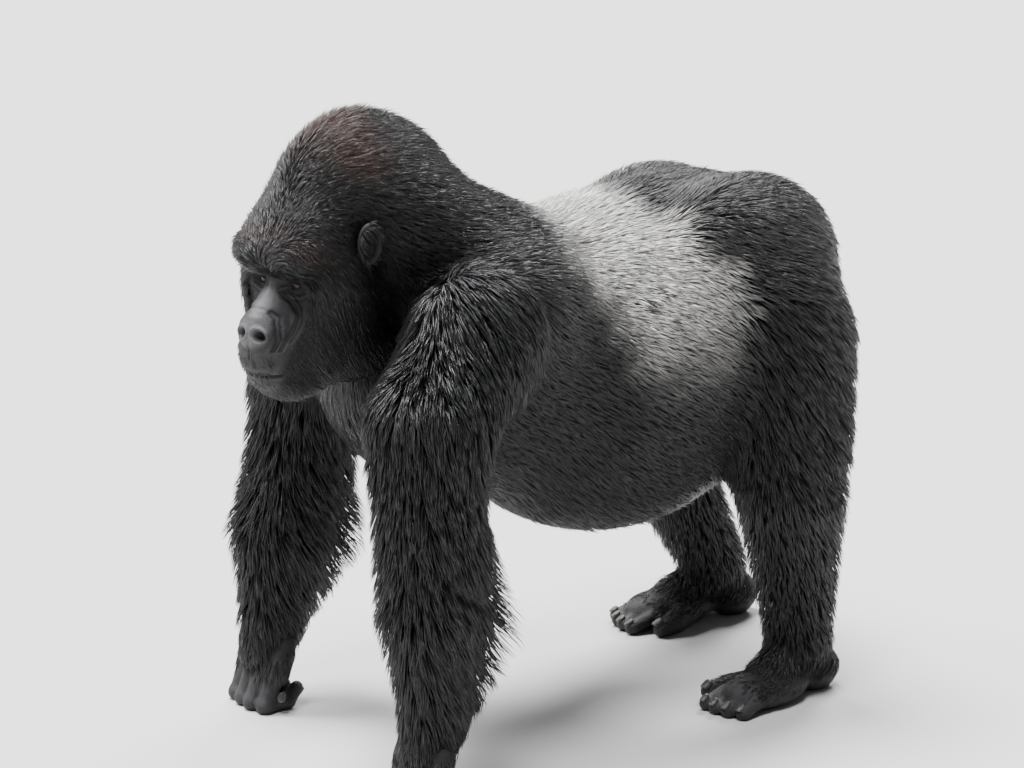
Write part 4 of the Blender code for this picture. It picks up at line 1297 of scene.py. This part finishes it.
def nail_places():
    """Middle, half sizes and axes (across, along, up) of each nail of the toes, thumbs and fingers."""
    found = []
    for side, sign in SIDES:
        below_ankle = ANKLE[side] * (1, 1, 0)
        axes = foot_axes(side)
        for number, (_, tip, radius) in enumerate(toes()):
            half_sizes = (0.0098, 0.0100, 0.0028) if number == 4 else (0.0072, 0.0085, 0.0024)
            up = unit(np.array([(0, 0.50, 0.87)]))[0]
            local = np.array(((1, 0, 0), (0, 0.87, -0.50), up))
            middle = below_ankle + (np.array(tip) + (0, 0.0015, 0.0015) + up * (radius - 0.0006)) @ axes
            found.append((middle, half_sizes, local @ axes))
        wrist = WRIST[side]
        tip = wrist - (sign * 0.056, 0.026, 0.108)
        axes = np.array(((0, 1, 0), (-sign * 0.2, -0.2, -0.96), (-sign * 0.96, 0, 0.2)))
        found.append((tip + (-sign * 0.0115, 0, -0.002), (0.0075, 0.0085, 0.0024), axes))
        axes = np.array(((1, 0, 0), (0, 0.67, 0.74), (0, 0.74, -0.67)))
        for across, shorter in finger_row(sign):
            tip = np.array((wrist[0] + across, wrist[1] + 0.008 + shorter, FINGER_HEIGHT + 0.020))
            found.append((tip + axes[2] * 0.0118, (0.0068, 0.0078, 0.0022), axes))
    return found


def nail_surface():
    """Closed curved plates: each is a squarish ball, flattened and bent down towards its sides."""
    tilt = np.linspace(0, math.pi, NAIL_RINGS + 1)[1:-1]
    round_it = np.arange(NAIL_SIDES) * 2 * math.pi / NAIL_SIDES

    def rounded(value, power):
        """A power of the value that keeps its sign."""
        return np.sign(value) * np.abs(value) ** power

    across = np.sin(tilt)[:, None] ** 0.6 * rounded(np.cos(round_it), 0.75)
    along = np.sin(tilt)[:, None] ** 0.6 * rounded(np.sin(round_it), 0.75)
    thick = np.repeat(rounded(np.cos(tilt), 0.8)[:, None], NAIL_SIDES, 1)
    shape = np.concatenate([np.stack([across, along, thick], -1).reshape(-1, 3), [(0, 0, 1), (0, 0, -1)]])
    faces = ball_faces(NAIL_RINGS, NAIL_SIDES)
    all_points, all_faces, lengthwise = [], [], []
    for number, (middle, half_sizes, axes) in enumerate(nail_places()):
        local = shape * half_sizes
        local[:, 2] -= NAIL_BEND * half_sizes[0] * shape[:, 0] ** 2
        placed = middle + local @ axes
        all_faces.append(outward(placed, faces) + number * len(shape))
        all_points.append(placed)
        lengthwise.append(shape)
    return np.concatenate(all_points), np.concatenate(all_faces), np.concatenate(lengthwise)


# ---------------------------------------------------------------- materials


class Link:
    """One socket of a material. Sums, products and the like of links and numbers add Math nodes."""

    def __init__(self, look, socket):
        self.look, self.socket = look, socket

    def math(self, operation, first, second):
        """The result of a Math node."""
        return self.look.node("ShaderNodeMath", {"operation": operation}, {0: first, 1: second})

    def __add__(self, other):
        return self.math("ADD", self, other)

    def __radd__(self, other):
        return self.math("ADD", other, self)

    def __sub__(self, other):
        return self.math("SUBTRACT", self, other)

    def __rsub__(self, other):
        return self.math("SUBTRACT", other, self)

    def __mul__(self, other):
        return self.math("MULTIPLY", self, other)

    def __truediv__(self, other):
        return self.math("DIVIDE", self, other)

    def __pow__(self, other):
        return self.math("POWER", self, other)

    def ramp(self, low, high, start=0.0, end=1.0):
        """start below low, end above high, and a smooth S between."""
        settings = {"interpolation_type": "SMOOTHSTEP"}
        return self.look.node("ShaderNodeMapRange", settings, {0: self, 1: low, 2: high, 3: start, 4: end})


class Look:
    """A material and its one shader."""

    def __init__(self, name, roughness, **constants):
        self.material = bpy.data.materials.new(name)
        self.material.use_nodes = True
        self.tree = self.material.node_tree
        self.tree.nodes.clear()
        self.shader = self.tree.nodes.new("ShaderNodeBsdfPrincipled")
        self.shader.inputs["Roughness"].default_value = roughness
        for key, value in constants.items():
            self.shader.inputs[key.replace("_", " ")].default_value = value
        output = self.tree.nodes.new("ShaderNodeOutputMaterial")
        self.tree.links.new(self.shader.outputs[0], output.inputs[0])

    def node(self, kind, settings=None, sockets=None, output=0):
        """A node of that type, with its settings set first, then its sockets' values or links."""
        made = self.tree.nodes.new(kind)
        for key, value in (settings or {}).items():
            setattr(made, key, value)
        for key, value in (sockets or {}).items():
            self.feed(made.inputs[key], value)
        return Link(self, made.outputs[output])

    def feed(self, socket, value):
        """Links a Link to the socket, or sets the socket's own value."""
        if isinstance(value, Link):
            self.tree.links.new(value.socket, socket)
        else:
            socket.default_value = value

    def place(self):
        """Places on the object."""
        return self.node("ShaderNodeTexCoord", output="Object")

    def attribute(self, name, output="Fac"):
        """What the mesh holds under that name for each point."""
        return self.node("ShaderNodeAttribute", {"attribute_name": name}, output=output)

    def map(self, name):
        """One of the mesh's UV maps."""
        return self.node("ShaderNodeUVMap", {"uv_map": name})

    def stretch(self, vector, scale):
        """A vector with each of its numbers scaled."""
        return self.node("ShaderNodeMapping", {"vector_type": "POINT"}, {"Vector": vector, "Scale": scale})

    def noise(self, vector, scale, detail=3.0, roughness=0.55):
        """A cloudy number about 0.5."""
        sockets = {"Vector": vector, "Scale": scale, "Detail": detail, "Roughness": roughness}
        return self.node("ShaderNodeTexNoise", None, sockets)

    def parts(self, vector):
        """The three numbers of a vector."""
        split = self.tree.nodes.new("ShaderNodeSeparateXYZ")
        self.feed(split.inputs[0], vector)
        return [Link(self, socket) for socket in split.outputs]

    def cell_edges(self, vector, scale):
        """How far each place is from the nearest edge between cells."""
        settings = {"feature": "DISTANCE_TO_EDGE"}
        return self.node("ShaderNodeTexVoronoi", settings, {"Vector": vector, "Scale": scale}, "Distance")

    def blend(self, share, first, second, kind="MIX"):
        """Two colours mixed by a share, or by another kind of mix."""
        settings = {"data_type": "RGBA", "blend_type": kind, "clamp_factor": True}
        return self.node("ShaderNodeMix", settings, {0: share, 6: first, 7: second}, 2)

    def tint(self, colour, factor):
        """A colour made lighter or darker by a number that varies."""
        grey = self.node("ShaderNodeCombineXYZ", None, {0: factor, 1: factor, 2: factor})
        return self.blend(1.0, colour, grey, "MULTIPLY")

    def finish(self, colour, roughness=None, height=None, distance=0.001):
        """Colour and roughness to the shader, and the height in shares of the distance through one bump."""
        self.feed(self.shader.inputs["Base Color"], colour)
        if roughness is not None:
            self.feed(self.shader.inputs["Roughness"], roughness)
        if height is not None:
            sockets = {"Distance": distance, "Strength": 1.0, "Height": height}
            self.feed(self.shader.inputs["Normal"], self.node("ShaderNodeBump", None, sockets))
        return self.material


def full(colour):
    """A colour property as the four numbers that a socket takes."""
    return (*colour, 1.0)


def coat_material():
    """Hair: its colour from the markings, with painted shade towards each lock's root, uneven from strand to
    strand, with fine grooves along each lock.
    """
    look = Look("coat hair", 0.42, Specular_IOR_Level=0.52, Sheen_Weight=0.02, Sheen_Roughness=0.4)
    colour, strands, place = look.attribute("coat_colour", "Color"), look.map("Strand"), look.place()
    fine = look.noise(look.stretch(strands, (9.0, 0.7, 1.0)), 1.0, 2.0)
    patches = look.noise(place, 22.0, 4.0, 0.6)
    wide = look.noise(place, 6.0, 3.0)
    factor = 0.30 + fine * 0.60 + patches * 0.50 + wide * 0.30
    roughness = 0.23 + fine * 0.13 + patches * 0.13
    return look.finish(look.tint(colour, factor), roughness, fine, 0.0006)


def hide_material(colours):
    """Skin: bare leather with pores and creases, painted shade in its folds and a painted nose highlight;
    dark under the coat elsewhere.
    """
    look = Look("hide", 0.5, Specular_IOR_Level=0.40)
    place, bare, hair = look.place(), look.attribute("bare"), look.attribute("coat_colour", "Color")
    nose, lips, fold = look.attribute("nose"), look.attribute("lips"), look.attribute("fold")
    warp = look.noise(place, 70.0, 3.0)
    warp = look.node("ShaderNodeCombineXYZ", None, {0: warp * 0.006, 1: warp * 0.006, 2: warp * 0.006})
    shaken = look.node("ShaderNodeVectorMath", {"operation": "ADD"}, {0: place, 1: warp})
    creases = look.cell_edges(shaken, 460.0).ramp(0.0, 0.20)
    wide_creases = look.cell_edges(look.stretch(shaken, (1.0, 1.0, 1.9)), 150.0).ramp(0.0, 0.14)
    pores = look.noise(place, 900.0, 2.0)
    stubble = look.noise(look.stretch(place, (1.0, 1.0, 0.5)), 520.0, 2.0)
    cloud = look.noise(place, 34.0, 4.0)
    leather = look.blend(cloud.ramp(0.35, 0.70), full(colours.face), full(colours.face_light))
    # The nose's lighter colour on its bridge and pad is a painted highlight of its sheen.
    leather = look.blend(nose * 0.85, leather, full(colours.nose))
    leather = look.blend(lips * 0.6, leather, full(colours.lips))
    # The fold attribute is painted shade: it darkens the leather in the face's lines, the nostrils, round the
    # eyes and in the ears.
    worn = (0.74 + creases * 0.14 + wide_creases * 0.12 + pores * 0.10) * (1.0 - fold * 0.72)
    under = look.tint(hair, 0.40 + look.noise(place, 260.0, 3.0) * 0.60)
    colour = look.blend(bare, under, look.tint(leather, worn))
    roughness = 0.58 - nose * 0.26 + cloud * 0.10 - creases * 0.06 + fold * 0.40
    roughness = roughness * bare + (1.0 - bare) * 0.75
    height = (creases * 0.22 + wide_creases * 0.26 + pores * 0.12 + stubble * 0.12) * bare
    height = height + (1.0 - bare) * stubble * 1.2
    return look.finish(colour, roughness, height, 0.0011)


def eye_material(colours):
    """Eye: a pupil, a brown iris with fibres and a dark rim, and a dark brown white of the eye, all wet."""
    look = Look("eye", 0.06, IOR=1.376, Specular_IOR_Level=0.30)
    gaze = look.attribute("gaze", "Vector")
    x, y, ahead = look.parts(gaze)
    reach = (x * x + y * y) ** 0.5
    round_it = {0: x / (reach + 0.001), 1: y / (reach + 0.001), 2: reach * 1.4}
    spread = look.node("ShaderNodeCombineXYZ", None, round_it)
    fibres = look.noise(spread, 7.0, 4.0, 0.7)
    iris = look.blend(fibres.ramp(0.3, 0.7), full(colours.iris), full(colours.iris_light))
    iris = look.blend(reach.ramp(0.30, 0.43), iris, full(colours.eye_dark))
    cloud = look.noise(gaze, 9.0, 3.0).ramp(0.35, 0.75)
    white = look.blend(cloud, full(colours.eye_white), full(colours.eye_dark))
    colour = look.blend(reach.ramp(0.425, 0.455), iris, white)
    colour = look.blend(reach.ramp(0.150, 0.175), full(colours.pupil), colour)
    colour = look.blend(ahead.ramp(-0.2, 0.1), full(colours.eye_dark), colour)
    return look.finish(colour, 0.06 + reach.ramp(0.4, 0.6) * 0.10, fibres, 0.0001)


def nail_material(colours):
    """Nail: dark horn with ridges along it, paler and duller at the free edge."""
    look = Look("nail horn", 0.35, Specular_IOR_Level=0.5)
    shape = look.attribute("nail", "Vector")
    _, along, _ = look.parts(shape)
    ridges = look.noise(look.stretch(shape, (9.0, 0.6, 0.6)), 2.2, 3.0)
    blotches = look.noise(look.place(), 240.0, 3.0)
    colour = look.blend(along.ramp(0.55, 0.95), full(colours.nail), full(colours.nail_edge))
    colour = look.tint(colour, 0.55 + ridges * 0.55 + blotches * 0.35)
    return look.finish(colour, 0.30 + ridges * 0.20 + along.ramp(0.5, 1.0) * 0.20, ridges, 0.0004)


def floor_material(colours):
    """Floor: pale, matt and hardly mottled."""
    look = Look("floor", 0.9)
    cloud = look.noise(look.place(), 1.6, 4.0)
    return look.finish(look.tint(full(colours.floor), 0.97 + cloud * 0.05), 0.86 + cloud * 0.08)


# ---------------------------------------------------------------- settings


def measure(name, default, low, high, description, unit_name="NONE"):
    """A number property; a length is in metres."""
    return bpy.props.FloatProperty(name=name, description=description, default=default, min=low, max=high,
                                   precision=4, unit=unit_name)  # fmt: skip


def paint(name, default, description):
    """A colour property, in linear light."""
    return bpy.props.FloatVectorProperty(name=name, description=description, default=default, subtype="COLOR",
                                         size=3, min=0.0, max=1.0)  # fmt: skip


class GorillaCoat(bpy.types.PropertyGroup):
    """The coat's locks and colours"""

    amount: measure("Amount of locks", 1.0, 0.01, 1.1, "How many locks there are, against the usual number")
    scale: measure("Size of locks", 1.0, 0.3, 1.5, "How long and broad the locks are, against the usual size")
    black: paint("Black hair", (0.0038, 0.0038, 0.0050), "Most of the coat")
    silver: paint("Silver hair", (0.680, 0.668, 0.645), "The saddle")
    # Set lighter than worn hair alone: partly a painted highlight of sheen on the rump's top and the
    # shoulders' edge. The scars take this colour too.
    brown: paint("Worn hair", (0.050, 0.046, 0.045), "Faded hair on the rump and at the shoulders' edge")
    rust: paint("Rust hair", (0.042, 0.012, 0.006), "The front of the crown and the brow")


class GorillaSkin(bpy.types.PropertyGroup):
    """Colours of the bare skin, the eyes and the nails"""

    face: paint("Face", (0.0110, 0.0108, 0.0125), "Bare skin of the face, ears, hands and feet")
    face_light: paint("Face, worn", (0.026, 0.0255, 0.028), "Lighter clouds in the bare skin")
    # Lighter than the face: a painted highlight of the sheen on the nose's bridge and pad.
    nose: paint("Nose", (0.135, 0.132, 0.140), "The bridge and the pad of the nose")
    lips: paint("Lips", (0.036, 0.030, 0.028), "The lips and the chin")
    iris: paint("Iris", (0.030, 0.012, 0.005), "Deep brown of the iris")
    iris_light: paint("Iris, fibres", (0.075, 0.032, 0.012), "Lighter fibres in the iris")
    eye_white: paint("White of the eye", (0.030, 0.021, 0.016), "Brownish in a gorilla")
    eye_dark: paint("Eye, dark", (0.012, 0.008, 0.006), "The iris's rim and the back of the eye")
    pupil: paint("Pupil", (0.002, 0.002, 0.002), "The pupil")
    nail: paint("Nail", (0.030, 0.026, 0.024), "Horn of the nails")
    nail_edge: paint("Nail, edge", (0.110, 0.095, 0.080), "The nails' free edge")


class GorillaStage(bpy.types.PropertyGroup):
    """The camera, the floor and the light from all round"""

    turn: measure("Camera turn", math.radians(54), 0.0, 7.0, "The camera's way round the animal", "ROTATION")
    rise: measure("Camera rise", math.radians(15), 0.0, 1.5, "The camera's angle above the floor", "ROTATION")
    away: measure("Camera distance", 7.0, 1.0, 30.0, "From the middle of the view to the camera", "LENGTH")
    lens: measure("Lens", 153.8, 10.0, 400.0, "Focal length in millimetres")
    floor: paint("Floor", (0.48, 0.48, 0.475), "The floor")
    sky: paint("Surroundings", (0.86, 0.88, 0.90), "Light from all round")
    sky_strength: measure("Strength of surroundings", 0.22, 0.0, 5.0, "Strength of the light from all round")


# ---------------------------------------------------------------- operators

LIT = (0.0, 0.0, 0.55)  # the middle of what the lamps and the camera look at
VIEW_SHIFT = (-0.0681, -0.0162)  # how far right of and above that middle the camera aims
FLOOR_HALF = 40.0  # half the floor's breadth
SENSOR_WIDTH, CLIP_END = 36.0, 200.0  # of the camera, in millimetres and metres
# Each lamp: where it shines from, how broad it looks, and its strength. They are suns, so the floor is even.
LAMPS = (
    ("key", (1.2, -1.6, 5.4), math.radians(20), 4.2),
    ("top", (-1.5, -0.3, 4.7), math.radians(26), 9.0),
    ("side", (-3.0, -2.4, 3.6), math.radians(22), 2.8),
    ("rim", (-2.2, 3.0, 3.6), math.radians(22), 4.0),
)


def belongs(piece, material, slot, *nodes):
    """The piece gets its material, moves with the body, and stands for those solids."""
    piece.data.materials.append(material)
    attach(piece, "root")
    if nodes:
        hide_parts(*nodes)
    return piece


def aimed(name, data, place, direction):
    """A lamp or a camera at a place, turned to look that way."""
    thing = bpy.data.objects.new(name, data)
    thing.location = Vector(place)
    thing.rotation_euler = Vector(direction).to_track_quat("-Z", "Y").to_euler()
    bpy.context.scene.collection.objects.link(thing)
    return thing


def hair_colours(scene):
    """The coat's four colours, in the order that markings takes them."""
    coat = scene.gorilla_coat
    return coat.black, coat.silver, coat.brown, coat.rust


class GORILLA_OT_skin(bpy.types.Operator):
    """Make the skin, with the face's folds and lids, in place of the solids of flesh"""

    bl_idname = "gorilla.skin"
    bl_label = "Skin"

    def execute(self, context):
        scene = context.scene
        points, faces = skin_surface()
        bare = np.maximum(naked(points), bareness(points))
        tints = markings(points, hair_colours(scene))
        nose, lips = nose_and_lips(points)
        # fold holds painted shade in the face's lines, nostrils, eye sockets and ears; nose places the
        # painted highlight on the nose.
        numbers = {"bare": bare, "nose": nose, "lips": lips, "fold": painted_fold_shade(points)}
        skin = mesh_piece("skin", points, faces, colours={"coat_colour": tints}, numbers=numbers)
        flesh = [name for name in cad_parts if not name.startswith("eye")]
        belongs(skin, hide_material(scene.gorilla_skin), "black_fur", *flesh)
        return {"FINISHED"}


class GORILLA_OT_coat(bpy.types.Operator):
    """Make the coat's pieces, each of many locks rooted on the skin"""

    bl_idname = "gorilla.coat"
    bl_label = "Coat"

    def execute(self, context):
        scene = context.scene
        mesh = bpy.data.objects["skin"].data
        points = np.empty(len(mesh.vertices) * 3, SMALL)
        mesh.vertices.foreach_get("co", points)
        faces = np.empty(len(mesh.polygons) * 3, np.int32)
        mesh.loops.foreach_get("vertex_index", faces)
        points, faces = points.reshape(-1, 3).astype(float) - ORIGIN, faces.reshape(-1, 3)
        coat = scene.gorilla_coat
        material = coat_material()
        pieces = coat_pieces(points, faces, coat.amount, coat.scale, hair_colours(scene))
        for name, (places, parts, bake, strand, tints) in pieces.items():
            maps = {"OFBake": bake, "Strand": strand}
            piece = mesh_piece("coat_" + name, places, parts, maps, {"coat_colour": tints})
            belongs(piece, material, "silver_fur" if name in SILVER_PIECES else "black_fur")
        return {"FINISHED"}


class GORILLA_OT_eyes(bpy.types.Operator):
    """Make both eyes, each with its cornea, iris and pupil"""

    bl_idname = "gorilla.eyes"
    bl_label = "Eyes"

    def execute(self, context):
        scene = context.scene
        material = eye_material(scene.gorilla_skin)
        for side, sign in SIDES:
            points, faces, directions = eye_surface(sign)
            piece = mesh_piece("eyeball_" + side, points, faces, numbers={"gaze": directions})
            belongs(piece, material, "eye", "eye_" + side)
        return {"FINISHED"}


class GORILLA_OT_nails(bpy.types.Operator):
    """Make the nails of the toes, thumbs and fingers"""

    bl_idname = "gorilla.nails"
    bl_label = "Nails"

    def execute(self, context):
        scene = context.scene
        points, faces, shape = nail_surface()
        piece = mesh_piece("nails", points, faces, numbers={"nail": shape})
        belongs(piece, nail_material(scene.gorilla_skin), "bare_skin")
        return {"FINISHED"}


class GORILLA_OT_stage(bpy.types.Operator):
    """Make the floor, the soft lights and the camera"""

    bl_idname = "gorilla.stage"
    bl_label = "Floor, lights and camera"

    def execute(self, context):
        scene = context.scene
        stage = scene.gorilla_stage
        corners = np.array([(-1, -1, 0), (1, -1, 0), (1, 1, 0), (-1, 1, 0)]) * FLOOR_HALF - ORIGIN * (0, 0, 1)
        floor = mesh_piece("floor", corners, np.array([(0, 1, 2, 3)]))
        floor.data.materials.append(floor_material(stage))
        floor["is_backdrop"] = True
        world = bpy.data.worlds.new("surroundings")
        world.use_nodes = True
        light = world.node_tree.nodes["Background"]
        light.inputs["Color"].default_value = full(stage.sky)
        light.inputs["Strength"].default_value = stage.sky_strength
        scene.world = world
        for name, place, breadth, power in LAMPS:
            lamp = bpy.data.lights.new(name, "SUN")
            lamp.angle, lamp.energy = breadth, power
            aimed(name, lamp, place, -Vector(place))
        turn, rise = stage.turn, stage.rise
        back = (math.sin(turn) * math.cos(rise), -math.cos(turn) * math.cos(rise), math.sin(rise))
        right = np.array((math.cos(turn), math.sin(turn), 0.0))
        above = np.cross(back, right)
        aim = ORIGIN + np.array(LIT) + VIEW_SHIFT[0] * right + VIEW_SHIFT[1] * above
        eye = ORIGIN + np.array(LIT) + np.array(back) * stage.away
        camera = bpy.data.cameras.new("camera")
        camera.sensor_width, camera.lens, camera.clip_end = SENSOR_WIDTH, stage.lens, CLIP_END
        scene.camera = aimed("camera", camera, eye, aim - eye)
        return {"FINISHED"}


class GORILLA_PT_pieces(bpy.types.Panel):
    """The gorilla's pieces and settings"""

    bl_idname = "GORILLA_PT_pieces"
    bl_label = "Silverback gorilla"
    bl_space_type = "VIEW_3D"
    bl_region_type = "UI"
    bl_category = "Gorilla"

    def draw(self, context):
        for kind in OPERATORS:
            self.layout.operator(kind.bl_idname)
        for key in SETTINGS:
            group = getattr(context.scene, key)
            box = self.layout.box()
            for name in group.__annotations__:
                box.prop(group, name)


SETTINGS = {"gorilla_coat": GorillaCoat, "gorilla_skin": GorillaSkin, "gorilla_stage": GorillaStage}
OPERATORS = (GORILLA_OT_stage, GORILLA_OT_skin, GORILLA_OT_coat, GORILLA_OT_eyes, GORILLA_OT_nails)


def register():
    """Adds the classes and the scene's three groups of settings."""
    for kind in (*SETTINGS.values(), *OPERATORS, GORILLA_PT_pieces):
        bpy.utils.register_class(kind)
    for key, kind in SETTINGS.items():
        setattr(bpy.types.Scene, key, bpy.props.PointerProperty(type=kind))


def unregister():
    """Takes away what register added."""
    for key in SETTINGS:
        delattr(bpy.types.Scene, key)
    for kind in (GORILLA_PT_pieces, *OPERATORS[::-1], *SETTINGS.values()):
        bpy.utils.unregister_class(kind)


def main():
    register()
    bpy.ops.gorilla.stage()
    bpy.ops.gorilla.skin()
    bpy.ops.gorilla.coat()
    bpy.ops.gorilla.eyes()
    bpy.ops.gorilla.nails()
    boxes = {"cad": SOLID_BOX, "visual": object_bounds()}
    plain = {key: [[float(value) for value in corner] for corner in box] for key, box in boxes.items()}


if __name__ == "__main__":
    main()
